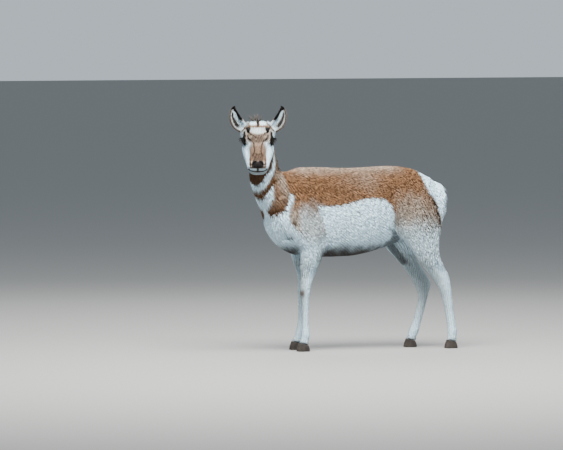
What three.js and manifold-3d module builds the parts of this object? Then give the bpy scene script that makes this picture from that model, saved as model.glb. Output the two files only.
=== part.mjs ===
// Pronghorn doe, standing square with the head turned to the left, life size.
// Millimetres, +Z up. The body points along -X, and the animal's left side faces -Y.
// Heights are over the ground at z = 0. The group is centred over its own footprint at the end.

import * as THREE from 'three';
import { mergeVertices } from 'three/addons/utils/BufferGeometryUtils.js';
import Module from 'manifold-3d';

const wasm = await Module();
wasm.setup();

// Driving dimensions of the body
const WITHERS = 847;
const CROUP = 847;
const CHEST_FLOOR = 432;
const BARREL = 132;
const HIP = 116;
const STANCE_FORE = 65;
const STANCE_HIND = 71;
const FOOT_TOP = 34;
const SPLIT = 0.3;

// Driving dimensions of the head, in its own axes
const HEAD_AT = new THREE.Vector3(-539, -110, 977);
const HEAD_YAW = THREE.MathUtils.degToRad(70);
const HEAD_PITCH = THREE.MathUtils.degToRad(43);
const EYE_RADIUS = 19;
const EYE_APART = 54;
const LID = 3.4;
const GAZE = THREE.MathUtils.degToRad(34);
const CANT = THREE.MathUtils.degToRad(18);

// Colours and finishes
const COAT = { color: 0xa88064, roughness: 0.95, metalness: 0 };
const WHITE_COAT = { color: 0xe2e4e4, roughness: 0.95, metalness: 0 };
const DARK_COAT = { color: 0x4a3526, roughness: 0.95, metalness: 0 };
const EYE = { color: 0x0b0806, roughness: 0.08, metalness: 0 };
const HORN = { color: 0x1d1916, roughness: 0.5, metalness: 0 };
const HOOF = { color: 0x2b2724, roughness: 0.45, metalness: 0 };

const group = new THREE.Group();

// Smooth tables: rows of numbers, the first of them rising or falling all the way

/** Slope at each row for a curve that never overshoots between rows. */
function slopes(keys, column) {
  const last = keys.length - 1;
  const secant = [];
  for (let i = 0; i < last; i += 1) {
    secant.push((keys[i + 1][column] - keys[i][column]) / (keys[i + 1][0] - keys[i][0]));
  }
  const slope = [secant[0]];
  for (let i = 1; i < last; i += 1) {
    const same = secant[i - 1] * secant[i] > 0;
    slope.push(same ? 2 / (1 / secant[i - 1] + 1 / secant[i]) : 0);
  }
  slope.push(secant[last - 1]);
  return slope;
}

/** The rows of a table with extra rows between them, on a smooth curve through the given ones. */
function smoothRows(keys, perSpan) {
  const width = keys[0].length;
  const slope = [];
  for (let column = 1; column < width; column += 1) {
    slope[column] = slopes(keys, column);
  }
  const rows = [];
  for (let i = 0; i < keys.length - 1; i += 1) {
    const span = keys[i + 1][0] - keys[i][0];
    for (let k = 0; k < perSpan; k += 1) {
      const t = k / perSpan;
      const row = [keys[i][0] + t * span];
      for (let column = 1; column < width; column += 1) {
        const a = keys[i][column];
        const b = keys[i + 1][column];
        const rise = t * t * (3 - 2 * t);
        const lead = t * (1 - t) * (1 - t) * slope[column][i];
        const trail = t * t * (t - 1) * slope[column][i + 1];
        row.push(a + (b - a) * rise + span * (lead + trail));
      }
      rows.push(row);
    }
  }
  rows.push(keys[keys.length - 1]);
  return rows;
}

/** A number raised to a power with its sign kept. */
function signedPower(value, power) {
  return Math.sign(value) * Math.abs(value) ** power;
}

/** Turns a list of rings with equal counts into one closed surface with a fan over each end. */
function loft(rings) {
  const sides = rings[0].length;
  const places = [];
  const index = [];
  for (const ring of rings) {
    for (const point of ring) {
      places.push(point.x, point.y, point.z);
    }
  }
  for (let r = 0; r < rings.length - 1; r += 1) {
    for (let s = 0; s < sides; s += 1) {
      const next = (s + 1) % sides;
      const a = r * sides + s;
      const b = r * sides + next;
      index.push(a, b, b + sides, a, b + sides, a + sides);
    }
  }
  for (const r of [0, rings.length - 1]) {
    const middle = new THREE.Vector3();
    for (const point of rings[r]) {
      middle.add(point);
    }
    middle.divideScalar(sides);
    places.push(middle.x, middle.y, middle.z);
    const hub = places.length / 3 - 1;
    for (let s = 0; s < sides; s += 1) {
      const a = r * sides + s;
      const b = r * sides + ((s + 1) % sides);
      index.push(...(r === 0 ? [hub, b, a] : [hub, a, b]));
    }
  }
  const geometry = new THREE.BufferGeometry();
  geometry.setAttribute('position', new THREE.Float32BufferAttribute(places, 3));
  geometry.setIndex(index);
  return geometry;
}

/** The signed volume of a closed indexed surface, positive where its faces point out. */
function signedVolume(geometry) {
  const place = geometry.getAttribute('position');
  const index = geometry.getIndex();
  const corner = [new THREE.Vector3(), new THREE.Vector3(), new THREE.Vector3()];
  let volume = 0;
  for (let i = 0; i < index.count; i += 3) {
    corner.forEach((point, k) => point.fromBufferAttribute(place, index.getX(i + k)));
    volume += corner[0].dot(corner[1].cross(corner[2])) / 6;
  }
  return volume;
}

/** A closed surface as a solid that can be joined and cut. */
function solid(source) {
  const bare = source.clone();
  bare.deleteAttribute('normal');
  bare.deleteAttribute('uv');
  const geometry = mergeVertices(bare, 1e-4);
  const order = Uint32Array.from(geometry.getIndex().array);
  if (signedVolume(geometry) < 0) {
    for (let i = 0; i < order.length; i += 3) {
      [order[i + 1], order[i + 2]] = [order[i + 2], order[i + 1]];
    }
  }
  const mesh = new wasm.Mesh({
    numProp: 3,
    vertProperties: Float32Array.from(geometry.getAttribute('position').array),
    triVerts: order,
  });
  return new wasm.Manifold(mesh);
}

/** A joined or cut solid as a surface again. */
function surface(body) {
  const mesh = body.getMesh();
  const geometry = new THREE.BufferGeometry();
  const places = new Float32Array(mesh.vertProperties);
  geometry.setAttribute('position', new THREE.BufferAttribute(places, 3));
  geometry.setIndex(Array.from(mesh.triVerts));
  return geometry;
}

/** Adds one named piece to the animal. */
function place(name, geometry, finish) {
  const flat = geometry.clone();
  flat.computeVertexNormals();
  const mesh = new THREE.Mesh(flat, new THREE.MeshStandardMaterial(finish));
  mesh.name = name;
  group.add(mesh);
}

// The trunk, from the point of the breast to the rump

// Columns: x, top, widest level, floor, half width, how peaked the top is
const TRUNK = [
  [-455, 650, 605, 570, 30, 1.0],
  [-445, 705, 603, 545, 62, 0.95],
  [-422, 765, 602, 512, 88, 0.95],
  [-390, 806, 604, 480, 99, 1.1],
  [-343, 831, 608, 451, 114, 1.25],
  [-294, WITHERS - 1, 610, 437, 121, 1.35],
  [-230, WITHERS - 1, 612, CHEST_FLOOR, BARREL - 6, 1.3],
  [-150, 843, 615, CHEST_FLOOR - 1, BARREL, 1.2],
  [-60, 840, 616, CHEST_FLOOR + 1, BARREL + 2, 1.15],
  [20, 842, 624, 445, BARREL + 1, 1.1],
  [98, CROUP - 1, 642, 466, BARREL - 5, 1.05],
  [147, CROUP, 652, 481, HIP + 6, 1.05],
  [200, CROUP - 4, 660, 500, HIP + 3, 1.05],
  [250, 834, 664, 512, HIP + 1, 1.05],
  [300, 812, 668, 522, HIP - 5, 1.05],
  [343, 788, 674, 545, 107, 1.0],
  [374, 767, 680, 572, 95, 1.0],
  [392, 746, 686, 606, 76, 0.95],
  [401, 720, 690, 652, 44, 0.9],
];
const TRUNK_SIDES = 24;
const TRUNK_FLOOR_SHAPE = 0.92;

function trunkRing([x, top, level, floor, half, peak]) {
  const ring = [];
  for (let i = 0; i < TRUNK_SIDES; i += 1) {
    const angle = (2 * Math.PI * (i + 0.5)) / TRUNK_SIDES;
    const up = Math.sin(angle);
    const y = half * signedPower(Math.cos(angle), up > 0 ? peak : TRUNK_FLOOR_SHAPE);
    const z = level + up * (up > 0 ? top - level : level - floor);
    ring.push(new THREE.Vector3(x, y, z));
  }
  return ring;
}

const trunk = solid(loft(smoothRows(TRUNK, 2).map(trunkRing)));

// The neck, rising out of the shoulders and turning to the left under the head

// Columns: step, x, y, z of the middle, throat depth, nape depth, half width, turn in degrees
const NECK = [
  [0, -345, 0, 640, 104, 120, 94, 0],
  [1, -405, 0, 715, 98, 104, 88, 0],
  [2, -445, 0, 775, 84, 80, 68, 0],
  [3, -461, -1, 818, 81, 63, 58, 3],
  [4, -467, -2, 860, 70, 57, 52, 12],
  [5, -472, -4, 903, 57, 55, 48, 28],
  [6, -480, -8, 945, 54, 53, 47, 48],
  [7, -491, -18, 980, 50, 52, 47, 62],
  [8, -507, -42, 1006, 42, 46, 42, 70],
];
const NECK_SIDES = 20;

const neckRows = smoothRows(NECK, 2);
const neckMiddles = neckRows.map((row) => new THREE.Vector3(row[1], row[2], row[3]));

/** A point over the neck's surface: its slice, the angle round it, and how far out it lies. */
function onNeck(slice, angle, raise = 0) {
  const [, , , , throat, nape, half, degrees] = neckRows[slice];
  const before = neckMiddles[Math.max(slice - 1, 0)];
  const after = neckMiddles[Math.min(slice + 1, neckMiddles.length - 1)];
  const along = new THREE.Vector3().subVectors(after, before).normalize();
  const front = new THREE.Vector3(-1, 0, 0);
  front.addScaledVector(along, -front.dot(along)).normalize();
  const side = new THREE.Vector3().crossVectors(along, front);
  const around = angle - THREE.MathUtils.degToRad(degrees);
  const depth = Math.cos(around) > 0 ? throat : nape;
  const reach = raise + 1 / Math.hypot(Math.cos(around) / depth, Math.sin(around) / half);
  const point = neckMiddles[slice].clone();
  point.addScaledVector(front, reach * Math.cos(angle));
  return point.addScaledVector(side, reach * Math.sin(angle));
}

/** The middle of the nape at a slice of the neck, as an angle round it. */
function napeAngle(slice) {
  return Math.PI + THREE.MathUtils.degToRad(neckRows[slice][7]);
}

function neckRings() {
  return neckRows.map((row, slice) => {
    const ring = [];
    for (let s = 0; s < NECK_SIDES; s += 1) {
      ring.push(onNeck(slice, (2 * Math.PI * (s + 0.5)) / NECK_SIDES));
    }
    return ring;
  });
}

const neck = solid(loft(neckRings()));

// The head, in its own axes: x along the nose, y to the animal's left, z out of the brow

const headTurn = new THREE.Matrix4();
headTurn.makeBasis(
  new THREE.Vector3(
    -Math.cos(HEAD_PITCH) * Math.cos(HEAD_YAW),
    -Math.cos(HEAD_PITCH) * Math.sin(HEAD_YAW),
    -Math.sin(HEAD_PITCH),
  ),
  new THREE.Vector3(Math.sin(HEAD_YAW), -Math.cos(HEAD_YAW), 0),
  new THREE.Vector3(
    -Math.sin(HEAD_PITCH) * Math.cos(HEAD_YAW),
    -Math.sin(HEAD_PITCH) * Math.sin(HEAD_YAW),
    Math.cos(HEAD_PITCH),
  ),
);
headTurn.setPosition(HEAD_AT);

/** A point given in the head's axes, in the animal's. */
function onHead(x, y, z) {
  return new THREE.Vector3(x, y, z).applyMatrix4(headTurn);
}

// Columns: x, top, then half widths at the brow, face, cheek and jaw, the level of the cheek, floor
const SKULL = [
  [-112, 8, 14, 20, 20, 14, -24, -46],
  [-101, 26, 34, 42, 40, 28, -26, -66],
  [-78, 42, 43, 66, 60, 36, -30, -80],
  [-50, 51, 48, 75, 70, 40, -38, -88],
  [-14, 55, 47, 62, 72, 42, -45, -91],
  [14, 52, 42, 55, 72, 43, -47, -89],
  [42, 45, 34, 50, 69, 43, -46, -83],
  [70, 38, 28, 46, 64, 42, -43, -75],
  [100, 33, 26, 44, 58, 41, -40, -68],
  [130, 30, 26, 44, 53, 39, -37, -64],
  [150, 28, 26, 43, 49, 36, -34, -64],
  [163, 25, 25, 41, 45, 32, -31, -62],
  [172, 21, 22, 36, 38, 26, -28, -56],
  [179, 16, 18, 29, 29, 18, -21, -42],
  [184, 11, 13, 20, 19, 11, -12, -25],
  [187.5, 5, 5, 8, 8, 5, -3, -11],
];
const SKULL_SIDES = 20;

/** A slice of the head: a closed curve through its crown, brows, faces, cheeks, jaws and chin. */
function headRing([x, top, brow, face, cheek, jaw, level, floor], grow = 0) {
  const tall = top - level;
  const deep = level - floor;
  const edge = [
    [brow, top - 0.13 * tall],
    [face, top - 0.52 * tall],
    [cheek, level],
    [jaw, floor + 0.16 * deep],
  ];
  const points = [new THREE.Vector3(0, 0, top + grow)];
  for (const [half, z] of edge) {
    points.push(new THREE.Vector3(0, half + grow, z));
  }
  points.push(new THREE.Vector3(0, 0, floor - grow));
  for (const [half, z] of edge.reverse()) {
    points.push(new THREE.Vector3(0, -half - grow, z));
  }
  const outline = new THREE.CatmullRomCurve3(points, true, 'centripetal');
  const ring = outline.getPoints(SKULL_SIDES).slice(0, -1);
  return ring.map((point) => onHead(x, point.y, point.z));
}

const skull = solid(loft(smoothRows(SKULL, 2).map((row) => headRing(row))));

/** A ball with its own half sizes and place in the head's axes. */
function headBall(x, y, z, long, wide, high, sides = 16) {
  const ball = new THREE.SphereGeometry(1, sides, Math.round(sides * 0.75));
  ball.scale(long, wide, high);
  ball.translate(x, y, z);
  ball.applyMatrix4(headTurn);
  return solid(ball);
}

/** An eyeball's surface. */
function eyeBall(side, radius) {
  return new THREE.SphereGeometry(radius, 14, 10).translate(0, side * EYE_APART, 0).applyMatrix4(headTurn);
}

/** The opening between the lids: a pointed oval driven outwards, its front corner low. */
function lidOpening(side) {
  const half = 18.5;
  const rise = 12.5;
  const radius = (half * half + rise * rise) / (2 * rise);
  const sweep = Math.asin(half / radius);
  const outline = new THREE.Shape();
  outline.absarc(0, rise - radius, radius, Math.PI / 2 - sweep, Math.PI / 2 + sweep, false);
  outline.absarc(0, radius - rise, radius, Math.PI * 1.5 - sweep, Math.PI * 1.5 + sweep, false);
  const opening = new THREE.ExtrudeGeometry(outline, { depth: 40, bevelEnabled: false, curveSegments: 5 });
  const gaze = new THREE.Vector3(Math.sin(GAZE), side * Math.cos(GAZE), 0);
  const ahead = new THREE.Vector3(Math.cos(GAZE), -side * Math.sin(GAZE), 0);
  const long = ahead.clone().multiplyScalar(Math.cos(CANT));
  long.z = -Math.sin(CANT);
  const high = ahead.clone().multiplyScalar(Math.sin(CANT));
  high.z = Math.cos(CANT);
  opening.applyMatrix4(new THREE.Matrix4().makeBasis(long, high, gaze));
  opening.translate(0, side * EYE_APART, 0);
  opening.applyMatrix4(headTurn);
  return solid(opening);
}

/** The line of the mouth: a thin slit round the front of the muzzle, as deep as the lips. */
function mouthSlit() {
  const depth = 5;
  const thick = 1.6;
  const long = 84;
  const core = solid(loft(SKULL.slice(0, -2).map((row) => headRing(row, -depth))));
  const plate = new THREE.BoxGeometry(long, 120, thick, 6, 1, 1);
  const at = plate.getAttribute('position');
  for (let i = 0; i < at.count; i += 1) {
    const back = (long / 2 - at.getX(i)) / long;
    at.setZ(i, at.getZ(i) - 27 - 26 * back + 14 * back * back);
  }
  plate.translate(152, 0, 0);
  plate.applyMatrix4(headTurn);
  return solid(plate).subtract(core);
}

// The ears, cupped blades that rise from the back of the skull and open forwards

// Columns: step, out from the middle, forwards, up, half width, depth, how hollow
const EAR = [
  [0, 34, -62, 38, 15, 14, 0],
  [1, 56, -66, 46, 21, 19, 0],
  [2, 76, -68, 58, 27, 22, 0.5],
  [3, 93, -68, 74, 30, 22, 0.95],
  [4, 104, -67, 94, 28, 19, 1],
  [5, 110, -65, 115, 22.5, 15, 1],
  [6, 112, -63, 133, 15, 10.5, 1],
  [7, 110, -61, 146, 8, 6.5, 0.9],
  [8, 106, -60, 153, 2.6, 3, 0.6],
];
const EAR_WALL = 3.6;
const EAR_STEPS = 6;

function earRings(side) {
  const turn = new THREE.Matrix4().makeRotationZ(HEAD_YAW + Math.PI);
  const toward = new THREE.Vector3(1, 0, 0).applyMatrix4(turn);
  const outward = new THREE.Vector3(0, 1, 0).applyMatrix4(turn);
  const rows = smoothRows(EAR, 2);
  const middles = rows.map((row) => {
    const middle = HEAD_AT.clone();
    middle.addScaledVector(outward, side * row[1]);
    middle.addScaledVector(toward, row[2]);
    return middle.add(new THREE.Vector3(0, 0, row[3]));
  });
  return rows.map((row, i) => {
    const before = middles[Math.max(i - 1, 0)];
    const after = middles[Math.min(i + 1, middles.length - 1)];
    const along = new THREE.Vector3().subVectors(after, before).normalize();
    const open = toward.clone().addScaledVector(outward, side * 0.25);
    open.addScaledVector(along, -open.dot(along)).normalize();
    const across = new THREE.Vector3().crossVectors(along, open);
    const wall = Math.min(EAR_WALL, 0.5 * row[4], 0.5 * row[5]);
    const ring = [];
    for (let k = 0; k <= EAR_STEPS; k += 1) {
      const angle = (Math.PI * k) / EAR_STEPS;
      const point = middles[i].clone();
      point.addScaledVector(across, row[4] * Math.cos(angle));
      ring.push(point.addScaledVector(open, -row[5] * Math.sin(angle)));
    }
    for (let k = EAR_STEPS; k >= 0; k -= 1) {
      const angle = (Math.PI * k) / EAR_STEPS;
      const point = middles[i].clone();
      point.addScaledVector(across, (row[4] - wall) * Math.cos(angle));
      const hollow = row[6] * (row[5] - wall);
      ring.push(point.addScaledVector(open, 1 - hollow * Math.sin(angle)));
    }
    return ring;
  });
}

// The horns, two short buds over the eyes

function hornBud(side) {
  const tall = 31;
  const rings = [];
  for (const [up, radius] of [[0, 17], [0.45, 13], [0.75, 9], [0.93, 5], [1, 2]]) {
    const ring = [];
    for (let k = 0; k < 10; k += 1) {
      const angle = (2 * Math.PI * k) / 10;
      const x = -14 + radius * Math.cos(angle) - 6 * up;
      const y = side * (40 + 5 * up) + radius * Math.sin(angle);
      ring.push(onHead(x, y, 28 + tall * up));
    }
    rings.push(ring);
  }
  return solid(loft(rings));
}

// The legs, sliced level from the top of the shoulder or haunch to the coronet

// Columns: height, x, out from the middle, half depth, half width, slope of the slice
const FORELEG = [
  [795, -298, 28, 30, 26, 0],
  [745, -312, 48, 54, 40, 0],
  [680, -335, 72, 76, 44, 0],
  [620, -345, 80, 84, 43, 0],
  [560, -318, 83, 86, 41, 0],
  [510, -277, 81, 76, 38, 0],
  [466, -263, 77, 57, 34, 0],
  [411, -270, 73, 49, 30, 0],
  [360, -280, 69, 39, 26, 0],
  [320, -288, 67, 30, 23.5, 0],
  [290, -293, 66, 27, 23, 0],
  [262, -293, 65.5, 24, 21, 0],
  [237, -292.5, STANCE_FORE, 18.5, 17, 0],
  [150, -291, STANCE_FORE, 17, 15, 0],
  [102, -291, STANCE_FORE, 18, 16.5, 0],
  [78, -290, STANCE_FORE, 22, 20, 0.05],
  [56, -294, STANCE_FORE, 19, 18, 0.12],
  [FOOT_TOP, -299, STANCE_FORE, 24, 22, 0.3],
];

const HINDLEG_LEFT = [
  [790, 285, 28, 44, 28, 0],
  [740, 277, 50, 86, 42, 0],
  [680, 264, 66, 110, 50, 0],
  [620, 256, 72, 118, 51, 0],
  [563, 250, 74, 118, 48, 0],
  [516, 272, 75, 93, 44, 0],
  [458, 297, 76, 67, 38, 0],
  [427, 310, 76, 59, 34, 0],
  [399, 326, 76, 55, 31, 0],
  [371, 345, 75, 51, 28, 0],
  [349, 361, 75, 49, 26, 0],
  [319, 379, 74, 40, 24, 0],
  [275, 396, 73, 31, 20.5, 0],
  [227, 408, 72, 25, 17.5, 0],
  [157, 421, STANCE_HIND, 22, 15.5, 0],
  [102, 430, STANCE_HIND, 22, 17, 0],
  [79, 433, STANCE_HIND, 25, 20, 0.05],
  [56, 432, STANCE_HIND, 21, 18, 0.12],
  [FOOT_TOP, 429, STANCE_HIND, 25, 22, 0.3],
];

const HINDLEG_RIGHT = [
  [790, 280, 28, 44, 28, 0],
  [740, 268, 50, 86, 42, 0],
  [680, 252, 66, 108, 50, 0],
  [620, 242, 72, 116, 51, 0],
  [563, 226, 74, 108, 48, 0],
  [516, 222, 75, 90, 44, 0],
  [458, 230, 76, 66, 38, 0],
  [427, 249, 76, 53, 34, 0],
  [397, 271, 76, 49, 31, 0],
  [365, 297, 76, 47, 28.5, 0],
  [330, 320, 75, 46, 26, 0],
  [298, 339, 75, 44, 24, 0],
  [268, 345, 74, 32, 21, 0],
  [236, 343, 73, 24, 18, 0],
  [199, 335, 72, 22, 16, 0],
  [140, 318, STANCE_HIND, 21.5, 15.5, 0],
  [96, 304, STANCE_HIND, 22, 17, 0.03],
  [76, 297, STANCE_HIND, 25, 20, 0.08],
  [54, 288, STANCE_HIND, 21, 18, 0.15],
  [FOOT_TOP, 281, STANCE_HIND, 25, 22, 0.3],
];

// How much farther back the right foreleg stands, by height
const RIGHT_FORE_SHIFT = [
  [800, 0],
  [468, 0],
  [425, 12],
  [360, 33],
  [320, 39],
  [278, 39],
  [231, 32],
  [139, 29],
  [84, 21],
  [40, 12],
  [0, 10],
];
const LEG_SIDES = 12;

/** The value of a two column table at a height between its rows. */
function between(table, height) {
  for (let i = 1; i < table.length; i += 1) {
    const [high, a] = table[i - 1];
    const [low, b] = table[i];
    if (height >= low) {
      return a + ((b - a) * (high - height)) / (high - low);
    }
  }
  return table[table.length - 1][1];
}

const FORELEG_RIGHT = FORELEG.map((row) => {
  const shifted = [...row];
  shifted[1] += between(RIGHT_FORE_SHIFT, row[0]);
  return shifted;
});

function legRing(side, [height, x, out, deep, half, slope]) {
  const ring = [];
  for (let i = 0; i < LEG_SIDES; i += 1) {
    const angle = (2 * Math.PI * (i + 0.5)) / LEG_SIDES;
    const dx = deep * Math.cos(angle);
    ring.push(new THREE.Vector3(x + dx, side * out + half * Math.sin(angle), height - slope * dx));
  }
  return ring;
}

function leg(side, table) {
  return solid(loft(smoothRows(table, 2).map((row) => legRing(side, row))));
}

// The hooves, two claws to a foot, flat on the ground

const CLAW_LENGTH = 58;
const CLAW_HALF = 10.5;
const CLAW_APART = 11.2;
const CLAW_AHEAD = 3;
const CLAW_SIDES = 14;

// Rows of one claw, from sole to top: height share, length share, width share
const CLAW = [
  [0, 1, 1],
  [0.3, 0.98, 1],
  [0.7, 0.84, 0.95],
  [1, 0.7, 0.88],
];

/** One claw: its sole lies on the ground and its top follows the slope of the leg's last slice. */
function claw(table, side, part) {
  const [height, x, out, , , slope] = table[table.length - 1];
  const rings = CLAW.map(([share, long, wide]) => {
    const ring = [];
    for (let k = 0; k < CLAW_SIDES; k += 1) {
      const angle = (2 * Math.PI * k) / CLAW_SIDES;
      const along = Math.cos(angle);
      const taper = along < 0 ? 1 - 0.45 * along * along : 1 - 0.15 * along;
      const dx = 0.5 * CLAW_LENGTH * long * along - CLAW_AHEAD * (1 - share);
      const y = side * out + part * CLAW_APART + CLAW_HALF * wide * taper * Math.sin(angle);
      ring.push(new THREE.Vector3(x + dx, y, share * (height - slope * dx - SPLIT)));
    }
    return ring;
  });
  return loft(rings);
}

// Locks of long hair: flat tapered blades that bend along the lie of the coat

// Share of a lock's full width at each point of its path, from root to tip
const LOCK_WIDTHS = [0.7, 1, 0.85, 0.1];

/** One lock over a path of points, each with the direction that faces out of the coat. */
function lock(path, half, thick) {
  const rings = path.map(({ at, out }, i) => {
    const before = path[Math.max(i - 1, 0)].at;
    const after = path[Math.min(i + 1, path.length - 1)].at;
    const along = new THREE.Vector3().subVectors(after, before).normalize();
    const side = new THREE.Vector3().crossVectors(along, out).normalize();
    const face = new THREE.Vector3().crossVectors(side, along);
    const width = LOCK_WIDTHS[i];
    return [
      at.clone().addScaledVector(side, half * width),
      at.clone().addScaledVector(face, thick * width),
      at.clone().addScaledVector(side, -half * width),
      at.clone().addScaledVector(face, -thick * width),
    ];
  });
  return solid(loft(rings));
}

/** A lock that starts under the skin and bends from one direction towards another. */
function bentLock(root, start, end, out, length, half, thick) {
  const path = [];
  const at = root.clone();
  for (let i = 0; i < LOCK_WIDTHS.length; i += 1) {
    path.push({ at: at.clone(), out });
    const share = (i + 0.5) / (LOCK_WIDTHS.length - 1);
    const step = start.clone().lerp(end, share).normalize();
    at.addScaledVector(step, length / (LOCK_WIDTHS.length - 1));
  }
  return lock(path, half, thick);
}

/** The short mane down the nape, its locks lying over each other like tiles. */
function maneLocks() {
  const firstSlice = 13;
  const lastSlice = 7;
  const raises = [-7, 2, 4, 4];
  const aside = THREE.MathUtils.degToRad(15);
  const locks = [];
  for (let slice = firstSlice; slice >= lastSlice; slice -= 1) {
    const places = slice % 2 === 0 ? [0] : [-1, 1];
    for (const shift of places) {
      const path = raises.map((raise, i) => {
        const angle = napeAngle(slice - i) + shift * aside;
        const at = onNeck(slice - i, angle, raise);
        return { at, out: at.clone().sub(neckMiddles[slice - i]).normalize() };
      });
      locks.push(lock(path, 13, 4));
    }
  }
  return locks;
}

// The tail, a short dock under long hair, hanging against the rump

// Columns: step, x, z, half width, half depth
const DOCK = [
  [0, 368, 754, 17, 12],
  [1, 392, 752, 20, 12],
  [2, 409, 737, 20, 10],
  [3, 416, 712, 17, 8],
  [4, 416, 690, 8, 5],
];
const DOCK_SIDES = 12;

function dockRings() {
  const rows = smoothRows(DOCK, 2);
  return rows.map((row, i) => {
    const before = rows[Math.max(i - 1, 0)];
    const after = rows[Math.min(i + 1, rows.length - 1)];
    const along = new THREE.Vector3(after[1] - before[1], 0, after[2] - before[2]).normalize();
    const across = new THREE.Vector3(0, 1, 0);
    const out = new THREE.Vector3().crossVectors(across, along);
    const ring = [];
    for (let k = 0; k < DOCK_SIDES; k += 1) {
      const angle = (2 * Math.PI * (k + 0.5)) / DOCK_SIDES;
      const point = new THREE.Vector3(row[1], 0, row[2]);
      point.addScaledVector(across, row[3] * Math.cos(angle));
      ring.push(point.addScaledVector(out, row[4] * Math.sin(angle)));
    }
    return ring;
  });
}

/** The hair of the tail: two tiers of locks that fan out from the dock and hang down past it. */
function tailLocks() {
  const tiers = [
    { z: 742, x: 402, count: 6, length: 92, spread: 11, fan: 0.3 },
    { z: 716, x: 411, count: 7, length: 112, spread: 10, fan: 0.22 },
  ];
  const locks = [];
  for (const { z, x, count, length, spread, fan } of tiers) {
    for (let i = 0; i < count; i += 1) {
      const across = i / (count - 1) - 0.5;
      const root = new THREE.Vector3(x - 14 * across * across, 2 * spread * across, z);
      const start = new THREE.Vector3(0.35, 2.2 * fan * across, -0.9);
      const end = new THREE.Vector3(-0.2, -0.5 * fan * across, -1);
      const out = new THREE.Vector3(1, 1.2 * across, 0);
      const shorter = 1 - 0.7 * across * across;
      locks.push(bentLock(root, start, end, out, length * shorter, 8, 3.5));
    }
  }
  return locks;
}

const TAIL_GAP = 0.35;
const rumpForTail = loft(smoothRows(TRUNK, 2).map(trunkRing)).translate(TAIL_GAP, 0, 0);
let tail = solid(loft(dockRings()));
for (const hair of tailLocks()) {
  tail = tail.add(hair);
}
tail = tail.subtract(solid(rumpForTail));

// Joining the flesh

let flesh = trunk.add(neck).add(skull);
flesh = flesh.add(leg(-1, FORELEG));
flesh = flesh.add(leg(1, FORELEG_RIGHT));
flesh = flesh.add(leg(-1, HINDLEG_LEFT));
flesh = flesh.add(leg(1, HINDLEG_RIGHT));
for (const side of [-1, 1]) {
  flesh = flesh.add(solid(loft(earRings(side))));
  flesh = flesh.add(hornBud(side));
  const lids = EYE_RADIUS + LID;
  flesh = flesh.add(headBall(0, side * EYE_APART, 0, lids, lids, lids, 14));
  flesh = flesh.add(headBall(-8, side * 38, 10, 42, 33, 28, 14));
}
for (const hair of maneLocks()) {
  flesh = flesh.add(hair);
}
for (const side of [-1, 1]) {
  flesh = flesh.subtract(solid(eyeBall(side, EYE_RADIUS + SPLIT)));
  flesh = flesh.subtract(lidOpening(side));
  flesh = flesh.subtract(headBall(178, side * 22, 12, 10, 6.5, 7, 8));
}
flesh = flesh.subtract(mouthSlit());

// The cleft between the haunches, below the tail
const cleft = new THREE.SphereGeometry(1, 12, 10).scale(60, 15, 78).translate(392, 0, 578);
flesh = flesh.subtract(solid(cleft));

// Parting it with thin round cuts

/** A thin round plate across a limb, square to the given direction. */
function cut(middle, direction, radius) {
  const plate = new THREE.CylinderGeometry(radius, radius, SPLIT, 24);
  const turn = new THREE.Quaternion();
  turn.setFromUnitVectors(new THREE.Vector3(0, 1, 0), direction.clone().normalize());
  plate.applyQuaternion(turn);
  plate.translate(middle.x, middle.y, middle.z);
  return solid(plate);
}

const toward = new THREE.Vector3(-Math.cos(HEAD_YAW), -Math.sin(HEAD_YAW), 0);
const up = new THREE.Vector3(0, 0, 1);

/** A point given by how far it lies in front of and above the middle of the eyes. */
function nearHead(ahead, above) {
  return HEAD_AT.clone().addScaledVector(toward, ahead).addScaledVector(up, above);
}

/** A point on a leg at a height, read from its table. */
function onLeg(side, table, height) {
  const x = between(table.map((row) => [row[0], row[1]]), height);
  const out = between(table.map((row) => [row[0], row[2]]), height);
  return new THREE.Vector3(x, side * out, height);
}

const LEGS = [
  { name: 'foreleg_left', side: -1, table: FORELEG, top: 422, knee: 284 },
  { name: 'foreleg_right', side: 1, table: FORELEG_RIGHT, top: 422, knee: 284 },
  { name: 'hindleg_left', side: -1, table: HINDLEG_LEFT, top: 487, knee: 322 },
  { name: 'hindleg_right', side: 1, table: HINDLEG_RIGHT, top: 487, knee: 268 },
];
const SIDES = [
  { name: 'left', side: 1 },
  { name: 'right', side: -1 },
];

// Each marker is a point inside the piece that takes the name
const markers = [
  { name: 'torso', at: new THREE.Vector3(-60, 0, 640), finish: COAT },
  { name: 'neck', at: new THREE.Vector3(-468, -2, 870), finish: COAT },
  { name: 'head', at: onHead(40, 0, 0), finish: COAT },
];
const cuts = [
  cut(new THREE.Vector3(-405, 0, 728), new THREE.Vector3(-0.87, 0, 0.5), 150),
  cut(nearHead(-106, -30), nearHead(0.8, 0.6).sub(HEAD_AT), 125),
];
for (const { name, side } of SIDES) {
  const outward = onHead(0, side, 0).sub(HEAD_AT);
  const root = nearHead(-67, 54).addScaledVector(outward, 70);
  const lean = outward.clone().multiplyScalar(0.8).addScaledVector(up, 0.6);
  cuts.push(cut(root, lean, 37));
  const tip = nearHead(-67, 105).addScaledVector(outward, 104);
  markers.push({ name: `ear_${name}`, at: tip, finish: DARK_COAT });
  const bud = onHead(-18, side * 44, 53);
  cuts.push(cut(bud, onHead(0, 0, 1).sub(HEAD_AT), 20));
  markers.push({ name: `horn_${name}`, at: onHead(-20, side * 45, 58), finish: HORN });
}
for (const { name, side, table, top, knee } of LEGS) {
  cuts.push(cut(onLeg(side, table, top), up, 90));
  cuts.push(cut(onLeg(side, table, knee), up, 60));
  markers.push({ name: `${name}_upper`, at: onLeg(side, table, (top + knee) / 2), finish: WHITE_COAT });
  markers.push({ name: `${name}_lower`, at: onLeg(side, table, knee / 2), finish: WHITE_COAT });
}
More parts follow.
